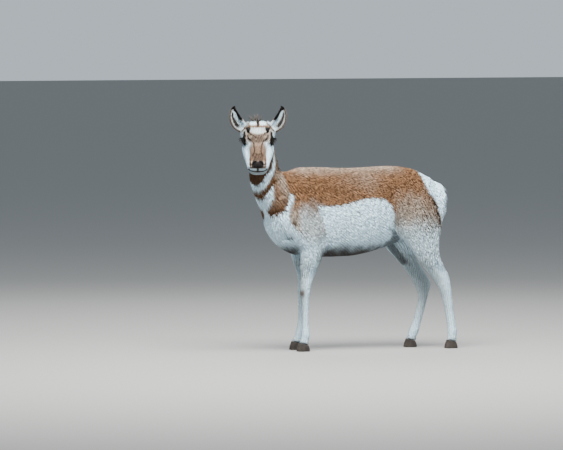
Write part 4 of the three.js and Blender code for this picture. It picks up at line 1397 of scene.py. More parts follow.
    def blades(self, roots: Roots, way: Array, hair: Hair, clumps: Clumps, plan: Array, bent: bool,
               paint: Callable[[Array], dict[str, Array]] | None, streak: Array | float = 0.0) -> Surface:
        """Builds the tufts.

        A bent blade is a spindle: one point sunk in the skin, a ring of three points part way
        along and a tip. A short one is a ring of three points in the skin and a tip. Middle
        and tip are set at their own heights over the skin and drawn to the clump's middle.

        Args:
            roots: the roots.
            way: the hair's directions.
            hair: the sizes of each tuft.
            clumps: how the tufts gather.
            plan: (n, 2) the roots' places on the piece's map.
            bent: whether the blades are spindles.
            paint: gives the masks of places on the hair, or None for the roots' own marks.
            streak: how much lighter each tuft is than its own shade.

        Returns:
            The closed blades with their masks, shades and places along the hair.
        """
        side = unit(np.cross(way, roots.normals)) * hair.width[:, None]
        thick = self.thickness * hair.width[:, None]
        base = roots.points - roots.normals * self.sink

        def along_hair(share: float) -> Array:
            """The point some way along each hair, level with its root."""
            return roots.points + way * (share * hair.length)[:, None]

        out = roots.normals if self.flesh is None else self.flesh.slope(along_hair(0.6))

        def over(share: float, lift: Array, drawn: float) -> Array:
            """The point some way along, at a height over the skin."""
            at = along_hair(share) + roots.normals * lift[:, None] + clumps.pull * drawn
            if self.flesh is None:
                return at
            gap = np.clip(lift - self.flesh.distance(at), -self.farthest, self.farthest)
            return at + out * gap[:, None]

        tip = over(1.0, hair.lift, 0.15)
        if bent:
            middle = over(0.45, hair.lift * 0.85, 0.05)
            rings = [base, middle - side * 0.5, middle + side * 0.5, middle + out * thick, tip]
            shape = [(0, 2, 1), (0, 3, 2), (0, 1, 3), (4, 1, 2), (4, 2, 3), (4, 3, 1)]
            along = [0, 0.5, 0.5, 0.5, 1.0]
            spread = [(-1, -1), (1, -1), (0, 0.2), (-0.5, 0.6), (0, 1)]
        else:
            top = base + roots.normals * (thick + self.sink)
            rings = [base - side * 0.45, base + side * 0.45, top, tip]
            shape = [(0, 2, 1), (0, 1, 3), (1, 2, 3), (2, 0, 3)]
            along = [0.5, 0.5, 0.6, 1.0]
            spread = [(-1, -1), (1, -1), (0, 0.2), (0, 1)]
        masks = roots.marks if paint is None else paint(along_hair(0.35))
        # Tufts far out in their clump are darker: painted shade between the clumps
        shade = 0.5 * self.rng.normal(0, 1, len(way)) + 0.15 * clumps.tone + 0.1 - 0.2 * clumps.far**2
        flat = plan[:, None] + np.array(spread, float)[None] * self.map_size
        return repeated(np.stack(rings, 1), shape, {**masks, "shade": shade + streak}, along, flat)


def turned(way: Array, normals: Array, angle: Array) -> Array:
    """Directions along the skin turned about its own by an angle each."""
    return way * np.cos(angle)[:, None] + np.cross(normals, way) * np.sin(angle)[:, None]


def strands(paths: Array, width: float, marks: dict[str, Array], plan: Array) -> Surface:
    """Long single locks: three-sided tubes that taper to a point along their own paths.

    Args:
        paths: (n, steps, 3) the line of each lock.
        width: the half width at the root.
        marks: named values of each lock.
        plan: (n, 2) its place on the piece's map.

    Returns:
        The closed locks with their places along the hair.
    """
    count, steps = paths.shape[:2]
    rings = steps - 1
    along = unit(np.gradient(paths, axis=1))
    side = unit(np.cross(along, np.array([0.31, 0.12, 0.94])))
    rise = np.cross(side, along)[:, :-1, None]
    side = side[:, :-1, None]
    share = np.linspace(0, 1, steps)[:-1]
    taper = (width * np.sin(np.pi * np.clip(0.16 + 0.84 * share, 0, 1)) ** 0.7)[None, :, None, None]
    turn = np.radians([0, 120, 240])[None, None, :, None]
    body = paths[:, :-1, None] + taper * (np.cos(turn) * side + 0.55 * np.sin(turn) * rise)
    points = np.concatenate([body.reshape(count, -1, 3), paths[:, -1:]], 1)
    corner = np.arange(points.shape[1])
    last, tip = corner[-4:-1], corner[-1:].repeat(3)
    shape = np.vstack([[(0, 2, 1)], wall(rings, 3, rings - 1), np.stack([last, np.roll(last, -1), tip], 1)])
    spread = np.stack([np.cos(corner), np.sin(corner)], 1) * 0.0013
    return repeated(points, shape, marks, np.append(np.repeat(share, 3), 1.0), plan[:, None] + spread[None])


def added(name: str, data: bpy.types.ID) -> bpy.types.Object:
    """A new object in the scene."""
    made = bpy.data.objects.new(name, data)
    bpy.context.scene.collection.objects.link(made)
    return made


def aim(made: bpy.types.Object, target: Vector, back: Vector, distance: float = 1.0) -> None:
    """Sets a lamp or camera off from a target, some way along back, and turns it there."""
    made.location = target + back * distance
    made.rotation_euler = back.to_track_quat("Z", "Y").to_euler()


class Dresser:
    """Makes Blender objects of surfaces and gives them to the frame."""

    def __init__(self, place: Place) -> None:
        """Keeps the place of the model in the frame."""
        self.place = place

    def piece(self, name: str, surface: Surface, material: bpy.types.Material, slot: Slot,
              *replaces: str) -> None:
        """Adds one mesh to the scene, riding the body.

        Args:
            name: its name.
            surface: its shape in millimetres.
            material: its finish.
            slot: the record's slot; it is not used.
            replaces: the nodes that it stands for.
        """
        mesh = bpy.data.meshes.new(name)
        points = self.place.to_frame(surface.points).astype(np.float32)
        corners = surface.faces.astype(np.int32)
        mesh.vertices.add(len(points))
        mesh.vertices.foreach_set("co", points.ravel())
        mesh.loops.add(corners.size)
        mesh.loops.foreach_set("vertex_index", corners.ravel())
        mesh.polygons.add(len(corners))
        mesh.polygons.foreach_set("loop_start", np.arange(0, corners.size, 3, dtype=np.int32))
        mesh.update(calc_edges=True)
        mesh.shade_smooth()
        for mark, values in surface.marks.items():
            attribute = mesh.attributes.new(mark, "FLOAT", "POINT")
            attribute.data.foreach_set("value", values.astype(np.float32))
        if surface.flat is not None:
            layer = mesh.uv_layers.new(name="OFBake")
            layer.uv.foreach_set("vector", surface.flat[corners.ravel()].astype(np.float32).ravel())
        mesh.materials.append(material)
        made = added(name, mesh)
        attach(made, BODY)
        if replaces:
            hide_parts(*replaces)
        log.info("%s: %d triangles", name, len(corners))


# Shaders


def operator(operation: str, swapped: bool = False) -> Callable[[Wire, object], Wire]:
    """A method of Wire that adds a Math node, with its two values swapped where asked."""

    def apply(self: Wire, other: object) -> Wire:
        """The Math node of this and the other."""
        first, second = (other, self) if swapped else (self, other)
        return self.shader.node("ShaderNodeMath", {"operation": operation}, {0: first, 1: second})

    return apply


class Wire:
    """A shader socket that sums, differences and products can be written with."""

    __add__ = operator("ADD")
    __mul__ = operator("MULTIPLY")
    __sub__ = operator("SUBTRACT")
    __rsub__ = operator("SUBTRACT", swapped=True)

    def __init__(self, shader: Shader, socket: bpy.types.NodeSocket) -> None:
        """Keeps the socket and the shader that it belongs to."""
        self.shader = shader
        self.socket = socket


class Shader:
    """A node material under construction."""

    def __init__(self, name: str) -> None:
        """Starts a material with a Principled shader."""
        self.material = bpy.data.materials.new(name)
        self.material.use_nodes = True
        self.tree = self.material.node_tree
        self.surface = self.tree.nodes["Principled BSDF"]

    def node(self, kind: str, settings: dict | None = None, sockets: dict | None = None,
             output: int | str = 0) -> Wire:
        """Adds a node.

        Args:
            kind: its type.
            settings: its properties.
            sockets: values or wires of its inputs, by name or number.
            output: which of its outputs is wanted.

        Returns:
            The wire from that output.
        """
        made = self.tree.nodes.new(kind)
        for name, value in (settings or {}).items():
            setattr(made, name, value)
        for name, value in (sockets or {}).items():
            self.feed(made.inputs[name], value)
        return Wire(self, made.outputs[output])

    def feed(self, socket: bpy.types.NodeSocket, value: object) -> None:
        """Links a wire to a socket, or sets its value."""
        if isinstance(value, Wire):
            self.tree.links.new(value.socket, socket)
        else:
            socket.default_value = value

    def mix(self, share: object, first: object, second: object) -> Wire:
        """One colour over another."""
        settings = {"data_type": "RGBA", "clamp_factor": True}
        return self.node("ShaderNodeMix", settings, {0: share, 6: first, 7: second}, 2)

    def scaled(self, colour: Wire, by: object) -> Wire:
        """A colour times a number."""
        return self.node("ShaderNodeVectorMath", {"operation": "SCALE"}, {0: colour, "Scale": by})

    def mark(self, name: str) -> Wire:
        """A named value of the mesh."""
        return self.node("ShaderNodeAttribute", {"attribute_name": name}, output="Fac")

    def place(self) -> Wire:
        """The object's own coordinates, in metres."""
        return self.node("ShaderNodeTexCoord", output="Object")

    def noise(self, scale: float, detail: float) -> Wire:
        """Noise on the object's own coordinates."""
        sockets = {"Vector": self.place(), "Scale": scale, "Detail": detail}
        return self.node("ShaderNodeTexNoise", None, sockets)

    def finish(self, **sockets: object) -> bpy.types.Material:
        """Feeds the Principled shader's sockets, named with underscores, and gives the material."""
        for name, value in sockets.items():
            self.feed(self.surface.inputs[name.replace("_", " ")], value)
        return self.material

    def bump(self, height: Wire, strength: float, distance: float) -> Wire:
        """A normal bent by a height."""
        sockets = {"Height": height, "Strength": strength, "Distance": distance}
        return self.node("ShaderNodeBump", None, sockets, "Normal")


@dataclass(frozen=True)
class CoatFinish:
    """The colours of the coat: tan, beige-grey, white, brown and black."""

    tan: Colour = (0.215, 0.118, 0.064, 1)
    tan_deep: Colour = (0.136, 0.066, 0.030, 1)
    pale: Colour = (0.35, 0.30, 0.25, 1)
    # The white's blue tint is painted blue sky light on a white coat
    white: Colour = (0.64, 0.85, 0.97, 1)
    brown: Colour = (0.105, 0.052, 0.024, 1)
    dark: Colour = (0.006, 0.005, 0.005, 1)
    roots: float = 0.55
    tips: float = 1.18

    def material(self, name: str, on_skin: bool) -> bpy.types.Material:
        """The coat on the skin, with its fine hair as bump, or on the tufts."""
        shader = Shader(name)
        base = shader.mix(shader.noise(24, 3) * 1.3 - 0.35, self.tan, self.tan_deep)
        for mark in ("pale", "white", "brown", "dark"):
            base = shader.mix(shader.mark(mark), base, getattr(self, mark))
        speckle = shader.noise(420, 2) * 0.34 + 0.83
        if on_skin:
            bare = shader.mark("bare")
            tone = speckle * (bare * 0.3 + 0.7)
            grain = shader.noise(900, 3) + shader.noise(260, 2) * 0.8
            rest = {"Roughness": 0.9 - bare * 0.4, "Normal": shader.bump(grain, 0.6, 0.0014)}
        else:
            tone = shader.mark("along") * (self.tips - self.roots) + self.roots
            tone = tone * (shader.mark("shade") * 0.165 + 1.0) * speckle
            rest = {"Roughness": 0.8}
        return shader.finish(Base_Color=shader.scaled(base, tone), Specular_IOR_Level=0.05, **rest)


@dataclass(frozen=True)
class HornFinish:
    """Black horn or hoof, ridged and dusty."""

    colour: Colour
    dust: Colour
    ridges: float

    def material(self, name: str) -> bpy.types.Material:
        """Horn with level growth lines and a dusting in patches."""
        shader = Shader(name)
        sockets = {"Vector": shader.place(), "Scale": self.ridges, "Distortion": 2.5, "Detail": 2.0}
        ridges = shader.node("ShaderNodeTexWave", {"bands_direction": "Z"}, sockets)
        fine = shader.noise(300, 4)
        return shader.finish(
            Base_Color=shader.mix(shader.noise(55, 3) * 0.9 - 0.15, self.colour, self.dust),
            Roughness=fine * 0.3 + 0.45,
            Specular_IOR_Level=0.06,
            Normal=shader.bump(ridges * 0.35 + fine * 0.6, 0.35, 0.0006),
        )


@dataclass(frozen=True)
class EyeFinish:
    """A wet dark eye: brown-black iris round a wide pupil."""

    iris: Colour = (0.014, 0.007, 0.004, 1)
    pupil: Colour = (0.002, 0.002, 0.003, 1)

    def material(self) -> bpy.types.Material:
        """Iris and pupil under a clear coat."""
        shader = Shader("eye")
        iris = shader.mix(shader.noise(900, 2) * 0.7 + 0.6, self.pupil, self.iris)
        base = shader.mix(shader.mark("pupil"), iris, self.pupil)
        return shader.finish(Base_Color=base, Roughness=0.12, Specular_IOR_Level=0.25,
                             Coat_Weight=0.22, Coat_Roughness=0.03)


@dataclass(frozen=True)
class LidFinish:
    """Bare dark skin of the lids' rims."""

    colour: Colour = (0.004, 0.004, 0.004, 1)

    def material(self) -> bpy.types.Material:
        """Dark skin, a little moist."""
        shader = Shader("lid_rim")
        return shader.finish(Base_Color=self.colour, Roughness=0.5, Specular_IOR_Level=0.04,
                             Normal=shader.bump(shader.noise(700, 2), 0.4, 0.0005))


# Pieces


class Eyes:
    """Two eyeballs and the rims of their lids, with lashes."""

    def __init__(self, head: Head) -> None:
        """Keeps the head that they sit in."""
        self.head = head

    def axes(self, side: int) -> Array:
        """Rows: out of the eye, along its lids and up, in the body's axes."""
        return np.array(eye_axes(self.head, side)) @ self.head.axes()

    def middle(self, side: int) -> Array:
        """The centre of the eyeball."""
        return self.head.to_body([0, side * self.head.eye_apart, 0])

    def eyeball(self, side: int) -> Surface:
        """A sphere with a low cornea, whose pupil is a wide level bar."""
        centre, axes = self.middle(side), self.axes(side)
        made = ball(centre, self.head.eye_radius, axes)
        out, along, up = ((made.points - centre) @ axes.T).T
        raised = 0.5 * ramp(15, 6, np.hypot(along, up)) * (out > 0)
        made.points = made.points + np.outer(raised, axes[0])
        made.marks = {"pupil": ramp(1.1, 0.85, np.hypot(along / 9.5, up / 5.5)) * (out > 0)}
        return made

    def outline(self, count: int) -> Array:
        """The opening's outline between two circular arcs, in the lids' plane, closed."""
        radius = self.head.lid_radius()
        sweep = math.asin(self.head.lids_half / radius)
        angle = np.linspace(-sweep, sweep, count // 2, endpoint=False)
        upper = [radius * np.sin(angle), radius * np.cos(angle) + self.head.lids_rise - radius]
        upper = np.stack(upper, 1)
        return np.vstack([upper, -upper])

    def over_eye(self, plan: Array, over: float) -> Array:
        """Places of the lids' plane set out to a height over the eyeball."""
        out = np.sqrt(np.maximum((self.head.eye_radius + over) ** 2 - (plan**2).sum(1), 9))
        return np.column_stack([out, plan])

    def rim(self, side: int) -> Surface:
        """A soft roll carried round the opening, close over the eyeball."""
        path = self.over_eye(self.outline(96), 1.2)
        along = unit(np.roll(path, -1, 0) - np.roll(path, 1, 0))
        radial = unit(path)
        across = np.cross(along, radial)
        turn = circle(12)[None, :, None]
        ring = path[:, None] + 3.0 * np.cos(turn) * across[:, None]
        ring = ring + 1.8 * np.sin(turn) * radial[:, None]
        rows, sides = ring.shape[:2]
        points = ring.reshape(-1, 3) @ self.axes(side) + self.middle(side)
        return Surface(points, wall(rows, sides, rows)).outward()

    def lashes(self, side: int) -> Surface:
        """Long curved hairs along the upper lid that stand out and droop at their tips."""
        rng = np.random.default_rng(SEED + side)
        root = self.over_eye(self.outline(96)[6:42], 2)
        root = root + rng.normal(0, 0.3, root.shape)
        share = np.linspace(-1, 1, len(root))
        long = 25 * (1 - 0.4 * share**2) * rng.uniform(0.6, 1.1, len(root))
        start = np.stack([np.full_like(share, 0.9), 0.45 * share, np.full_like(share, 0.30)], 1)
        start = unit(start + rng.normal(0, 0.06, root.shape))
        steps = np.linspace(0, 1, 5)
        path = root[:, None] + long[:, None, None] * steps[None, :, None] * start[:, None]
        path[..., 2] -= long[:, None] * 0.38 * steps**2
        made = strands(path, 0.7, {}, np.full((len(root), 2), 0.5))
        return carried(made, lambda points: points @ self.axes(side) + self.middle(side)).outward()


def hoof_claw(leg: Leg, part: int) -> Surface:
    """One claw of a foot: rings from its flat sole up to the slope of the leg's last slice.

    The part is 1 for the outer claw and -1 for the inner one, times the leg's side. Columns of
    the table: share of the height, length, width.
    """
    height, x, out, _, _, slope = leg.keys[-1]
    rows = smooth_rows(((0, 0.94, 0.9), (0.04, 0.985, 0.975), (0.12, 1, 1), (0.3, 0.98, 1),
                        (0.7, 0.84, 0.95), (0.93, 0.73, 0.89), (1, 0.7, 0.84)), 4)
    share, long, wide = (rows[:, k, None] for k in range(3))
    along = np.cos(circle(40))
    taper = np.where(along < 0, 1 - 0.45 * along * along, 1 - 0.15 * along)
    dx = 0.5 * 58 * long * along - 3 * (1 - share)
    y = leg.side * out + part * 11.2 + 10.5 * wide * taper * np.sin(circle(40))
    z = share * (height - slope * dx - 0.3)
    return tube(np.stack([x + dx, y, z], -1))


def horn_bud(head: Head, side: int) -> Surface:
    """A short ridged bud over the eye, leaning out and back; its table gives step and radius."""
    rows = smooth_rows(((-0.5, 11), (0, 11), (0.3, 10.8), (0.6, 10.2), (0.82, 8.6), (0.95, 5), (1, 1)), 5)
    up, radius = rows[:, 0, None], rows[:, 1, None]
    turn = circle(36)
    radius = radius * (1 + 0.05 * np.sin(3 * turn + 9 * up) + 0.04 * np.sin(7 * turn))
    x = -14 + radius * np.cos(turn) - 6 * up
    y = side * (40 + 5 * up) + 0.85 * radius * np.sin(turn)
    z = 28 + 27 * up + 0 * turn
    return tube(head.to_body(np.stack([x, y, z], -1)))


@dataclass(frozen=True)
class Ear:
    """A cupped blade that rises from the back of the skull and opens forwards.

    Columns of the table: step, out from the middle, forwards, up, half width, depth, how
    hollow.
    """

    head: Head
    side: int
    wall: float = 2.4
    rows_each: int = 7
    keys: tuple = (
        (0, 34, -62, 38, 15, 14, 0),
        (1, 56, -66, 46, 21, 19, 0),
        (2, 76, -68, 58, 27, 22, 0.5),
        (3, 93, -68, 74, 30, 22, 0.95),
        (4, 104, -67, 94, 28, 19, 1),
        (5, 110, -65, 115, 22.5, 15, 1),
        (6, 112, -63, 133, 15, 10.5, 1),
        (7, 110, -61, 146, 8, 6.5, 0.9),
        (8, 106, -60, 153, 2.6, 3, 0.6),
    )

    def frames(self) -> tuple[Array, Array, Array, Array, Array]:
        """The finer table, the middle line, and the ways along, across to the left and open."""
        rows = smooth_rows(self.keys, self.rows_each)
        toward, outward = self.head.toward(), self.head.axes()[1]
        middles = (np.array(self.head.at) + self.side * rows[:, 1:2] * outward + rows[:, 2:3] * toward
                   + rows[:, 3:4] * UP)
        along = unit(np.gradient(middles, axis=0))
        opening = toward + self.side * 0.25 * outward
        opening = unit(opening - (along @ opening)[:, None] * along)
        return rows, middles, along, np.cross(along, opening), opening

    def surface(self) -> Surface:
        """Half rings outside and inside with a wall between, and the coat's marks.

        The marks named step, medial and inside tell where a point lies: along the table,
        from -1 at the outer edge to 1 at the inner one, and on which face.
        """
        rows, middles, _, across, opening = self.frames()
        middles, across, opening = middles[:, None], across[:, None], opening[:, None]
        half, deep, hollow = rows[:, 4, None] - 1.2, rows[:, 5, None] - 1.2, rows[:, 6, None]
        rim = np.minimum(self.wall, 0.45 * np.minimum(half, deep))
        turn = np.linspace(0, math.pi, 22)[None, :]
        back = turn[:, ::-1]
        outer = middles + (half * np.cos(turn))[..., None] * across
        outer = outer - (deep * np.sin(turn))[..., None] * opening
        inner = middles + ((half - rim) * np.cos(back))[..., None] * across
        inner = inner + (1 - hollow * (deep - rim) * np.sin(back))[..., None] * opening
        made = tube(np.concatenate([outer, inner], 1))
        medial = np.tile(np.append(np.cos(turn), np.cos(back)) * -self.side, len(rows))
        inside = np.tile(np.repeat([0.0, 1.0], turn.size), len(rows))
        step = np.repeat(rows[:, 0], 2 * turn.size)
        # The last two points are the middles of the end rings
        ends = ((step, [0, 8]), (medial, [0, 0]), (inside, [0, 0]))
        made.marks = self.masks(*(np.append(values, end) for values, end in ends))
        return made

    @staticmethod
    def masks(step: Array, medial: Array, inside: Array) -> dict[str, Array]:
        """The coat's masks and the place itself: black tip and inner edge, white hair inside."""
        tip = ramp(5.5, 6.0, step + 0.3 * inside + 0.3 * medial)
        edge = ramp(0.50, 0.76, medial) * ramp(2.2, 3.0, step)
        streak = bell((medial + 0.48 + 0.03 * (step - 3)) / (0.38 - 0.035 * step)) * inside
        streak = np.clip(2.5 * streak, 0, 1) * ramp(1.7, 2.3, step) * ramp(5.8, 4.8, step)
        streak = streak * (0.97 + 0.15 * np.sin(17 * step + 9 * medial))
        outer = ramp(-0.86, -0.95, medial) * inside
        white = inside * (1 - 0.6 * outer) * 0.85 + 0.25 * (1 - inside) * ramp(6.5, 2.0, step)
        brown = 0.5 * outer + 0.35 * (1 - inside) * ramp(1.5, 4.5, step)
        rim = 0.72 * ramp(-0.4, -0.85, medial) * (1 - inside)
        hollow = inside * ramp(0.5, -0.1, medial) * (0.22 + 0.16 * np.sin(28 * medial + 3 * step))
        dark = np.clip(most(tip, edge, streak, 0.85 * outer, rim, hollow), 0, 1)
        return dict(pale=0.65 + 0.35 * inside, white=white * (1 - dark), brown=brown, dark=dark,
                    bare=0.0 * dark, step=step, medial=medial, inside=inside)


class Studio:
    """The floor, the soft lights and the camera."""

    azimuth = math.radians(-20.0)
    elevation = math.radians(2.5)
    target = (-384.3, 0.0, 581.0)
    distance = 28.0
    lens = 389.2
    # What the lights point at, and each one's name, way to it in metres, power and size
    middle = (-50.0, 0, 600.0)
    lights = (
        ("key", (-0.9, -2.2, 4.2), 1550, 3.4),
        ("fill", (3.0, -2.4, 1.2), 30, 3.0),
        ("back", (1.0, 3.4, 2.8), 120, 2.6),
    )
    floor_half = 60.0

    def __init__(self, place: Place) -> None:
        """Keeps the place of the model in the frame."""
        self.place = place

    def build(self) -> None:
        """Adds the floor, lights and camera."""
        self._floor()
        self._lights()
        self._camera()

    def _floor(self) -> None:
        """A wide pale sheet at the height of the soles."""
        far = self.floor_half
        corners = [(-far, -far, 0), (far, -far, 0), (far, far, 0), (-far, far, 0)]
        mesh = bpy.data.meshes.new("studio_floor")
        mesh.from_pydata(corners, [], [(0, 1, 2, 3)])
        mesh.materials.append(Shader("studio_floor").finish(Base_Color=(0.2, 0.2, 0.196, 1), Roughness=0.9))
        added("studio_floor", mesh)

    def _lights(self) -> None:
        """A blue-grey sky, a wide key light high in front and weak lights at the sides."""
        world = bpy.data.worlds.new("studio")
        world.use_nodes = True
        sky = world.node_tree.nodes["Background"]
        sky.inputs["Color"].default_value = (0.80, 0.91, 1.0, 1)
        sky.inputs["Strength"].default_value = 0.68
        bpy.context.scene.world = world
        middle = Vector(self.place.to_frame(self.middle))
        for name, way, power, size in self.lights:
            data = bpy.data.lights.new(name, "AREA")
            data.energy = power
            data.size = size
            data.color = (1.0, 0.98, 0.95)
            aim(added(name, data), middle, Vector(way))

    def _camera(self) -> None:
        """A far camera with a long lens, turned to the photograph's side of the animal."""
        turn, level = self.azimuth, math.cos(self.elevation)
        back = Vector((math.sin(turn) * level, -math.cos(turn) * level, math.sin(self.elevation)))
        data = bpy.data.cameras.new("camera")
        data.sensor_width = 36.0
        data.lens = self.lens
        data.clip_end = 200.0
        camera = added("camera", data)
        aim(camera, Vector(self.place.to_frame(self.target)), back, self.distance)
        bpy.context.scene.camera = camera


class LongHair:
    """The long single locks of tail, nape, poll and temples."""

    def __init__(self, flesh: Flesh) -> None:
        """Keeps the flesh that they are rooted in."""
        self.flesh = flesh
        self.head = flesh.head
        self.rng = np.random.default_rng(SEED + 7)

    def _locks(self, root: Array, start: Array, end: Array, long: Array, steps: int, width: float,
               plan: Array | float, **marks: Array) -> Surface:
        """Locks that leave their roots one way and bend over to another.

        Args:
            root: (n, 3) their roots.
            start: (n, 3) the ways that they leave.
            end: (n, 3) the ways that they bend to.
            long: (n,) their lengths.
            steps: the points of each line.
            width: the half width at the root.
            plan: their places on the map, or the corner of a square of it to spread them over.
            marks: the masks that aren't zero.

        Returns:
            The locks, each with a shade of its own.
        """
        share = np.linspace(0, 1, steps)[None, :, None]
        way = unit(start)[:, None] * (share - 0.5 * share**2) + unit(end)[:, None] * 0.5 * share**2
        masks = {name: np.zeros(len(root)) for name in ("pale", "white", "brown", "dark", "bare")}
        masks |= {**marks, "shade": self.rng.normal(0, 0.9, len(root))}
        if isinstance(plan, float):
            plan = self.rng.random((len(root), 2)) * 0.2 + plan
        return strands(root[:, None] + long[:, None, None] * way, width, masks, plan)

    def tail(self) -> Surface:
        """White hair that falls from the dock, with a tan line down the middle of its top."""
        count = 620
        rows = Dock().rows()
        at = self.rng.uniform(0.15, 1, count) * (len(rows) - 1)
        x, z, half, deep = (np.interp(at, np.arange(len(rows)), rows[:, k]) for k in range(1, 5))
        round_it = self.rng.uniform(-1, 1, count) * 2.2
        fan, back = np.sin(round_it), np.cos(round_it)
        root = np.stack([x + 0.5 * deep * back, half * 0.8 * fan, z + 0 * x], 1)
        start = np.stack([0.12 + 0.1 * back, 0.5 * fan, -0.85 + 0 * fan], 1)
        end = np.stack([-0.26 + 0 * fan, -0.12 * fan, -1 + 0 * fan], 1)
        loose = self.rng.normal(0, 0.08, (count, 3))
        top = bell(round_it / 0.5) * ramp(700, 730, z)
        return self._locks(root, start + loose, end + loose, self.rng.uniform(62, 98, count), 6, 1.25,
                           np.stack([at / len(rows), 0.5 + 0.2 * round_it], 1),
                           white=0.95 - 0.75 * top, pale=0.8 - 0.3 * top, brown=0.8 * top)

    def mane(self) -> Surface:
        """Short brown hair that stands off the nape and lies back down it."""
        count = 900
        neck = self.flesh.neck
        at = self.rng.uniform(0.22, 0.97, count) * (len(neck.rows) - 1)
        index = np.arange(len(neck.rows))

        def along(values: Array) -> Array:
            """A value of the neck's rows at each root."""
            return np.stack([np.interp(at, index, column) for column in np.atleast_2d(values.T)], -1)

        turn = np.radians(along(neck.rows[:, 7:8])[:, 0] + 180) + self.rng.normal(0, 0.16, count)
        out = np.cos(turn)[:, None] * along(neck.front) + np.sin(turn)[:, None] * along(neck.side)
        root = along(neck.middles) + out * (along(neck.rows[:, 5:6]) - 9)
        down = -along(neck.along)
        loose = self.rng.normal(0, 0.12, (count, 3))
        long = self.rng.uniform(26, 44, count)
        mix = self.rng.random(count)
        return self._locks(root, 0.75 * out + 0.55 * down + loose, 0.3 * out + down + loose, long, 5, 1.2,
                           np.stack([at / len(index), turn / 7], 1),
                           brown=0.45 + 0.5 * mix, dark=0.45 * mix * mix, pale=1 - mix)

    def _on_head(self, spots: list[tuple], count: int) -> tuple[Array, Array]:
        """Roots scattered by bells round places of the head, and the skin's ways out there.

        Each spot is a place in the head's axes and the widths of its bell, for so many roots.
        """
        near = np.vstack([np.array(at) + self.rng.normal(0, 1, (count, 3)) * wide for at, wide in spots])
        points = self.head.to_body(near)
        for _ in range(3):
            points = points - self.flesh.slope(points) * self.flesh.distance(points)[:, None]
        return points, self.flesh.slope(points)

    def poll(self) -> Surface:
        """Ruffled locks between the ears."""
        each = 10
        spots = [((-88 + 3 * (y % 3), y, 40), (2.5, 1.6, 1)) for y in (-22, -16, -12, -8, -4, 1, 7)]
        root, out = self._on_head(spots, each)
        count = len(root)
        lean = np.repeat([-0.8, -0.55, -0.15, -0.4, 0.05, -0.25, 0.4], each)
        lean = self.head.axes()[1] * (lean + self.rng.normal(0, 0.16, count))[:, None]
        long = self.rng.uniform(18, 42, count)
        mix = self.rng.random(count)
        end = UP - 0.3 * self.head.toward() + 1.6 * lean
        return self._locks(root, 0.4 * out + 0.9 * UP + lean, end, long, 6, 0.85, 0.4,
                           pale=np.ones(count), brown=0.6 * mix, dark=0.6 + 0.35 * mix)

    def temples(self) -> Surface:
        """White hair at the roots of the ears and on the corners of the jaw."""
        places = (((-70, 52, 30), (8, 7, 6)), ((-62, 70, -4), (8, 5, 9)), ((-66, 70, -24), (12, 5, 14)))
        spots = [((x, side * y, z), wide) for side in (-1, 1) for (x, y, z), wide in places]
        root, out = self._on_head(spots, 60)
        count = len(root)
        nose, left, _ = self.head.axes()
        outward = np.sign(self.head.from_body(root)[:, 1:2]) * left
        loose = self.rng.normal(0, 0.14, (count, 3))
        long = self.rng.uniform(9, 18, count)
        mix = self.rng.random(count)
        return self._locks(root, 0.55 * out - 0.6 * nose + 0.3 * outward + loose,
                           0.2 * outward - nose + loose, long, 5, 0.55, 0.7,
                           white=0.4 + 0.5 * mix, pale=np.ones(count), brown=0.4 * (1 - mix))


@dataclass(frozen=True)
class Region:
    """A part of the skin whose tufts make one piece on each side.

    Attributes:
        name: its name.
        spacing: the mean area for one tuft, in square millimetres.
        bent: whether its tufts are spindles.
        clump: how wide the clumps are.
        streak: how wide the streaks of its shades are.
    """

    name: str
    spacing: float
    bent: bool
    clump: float
    streak: float


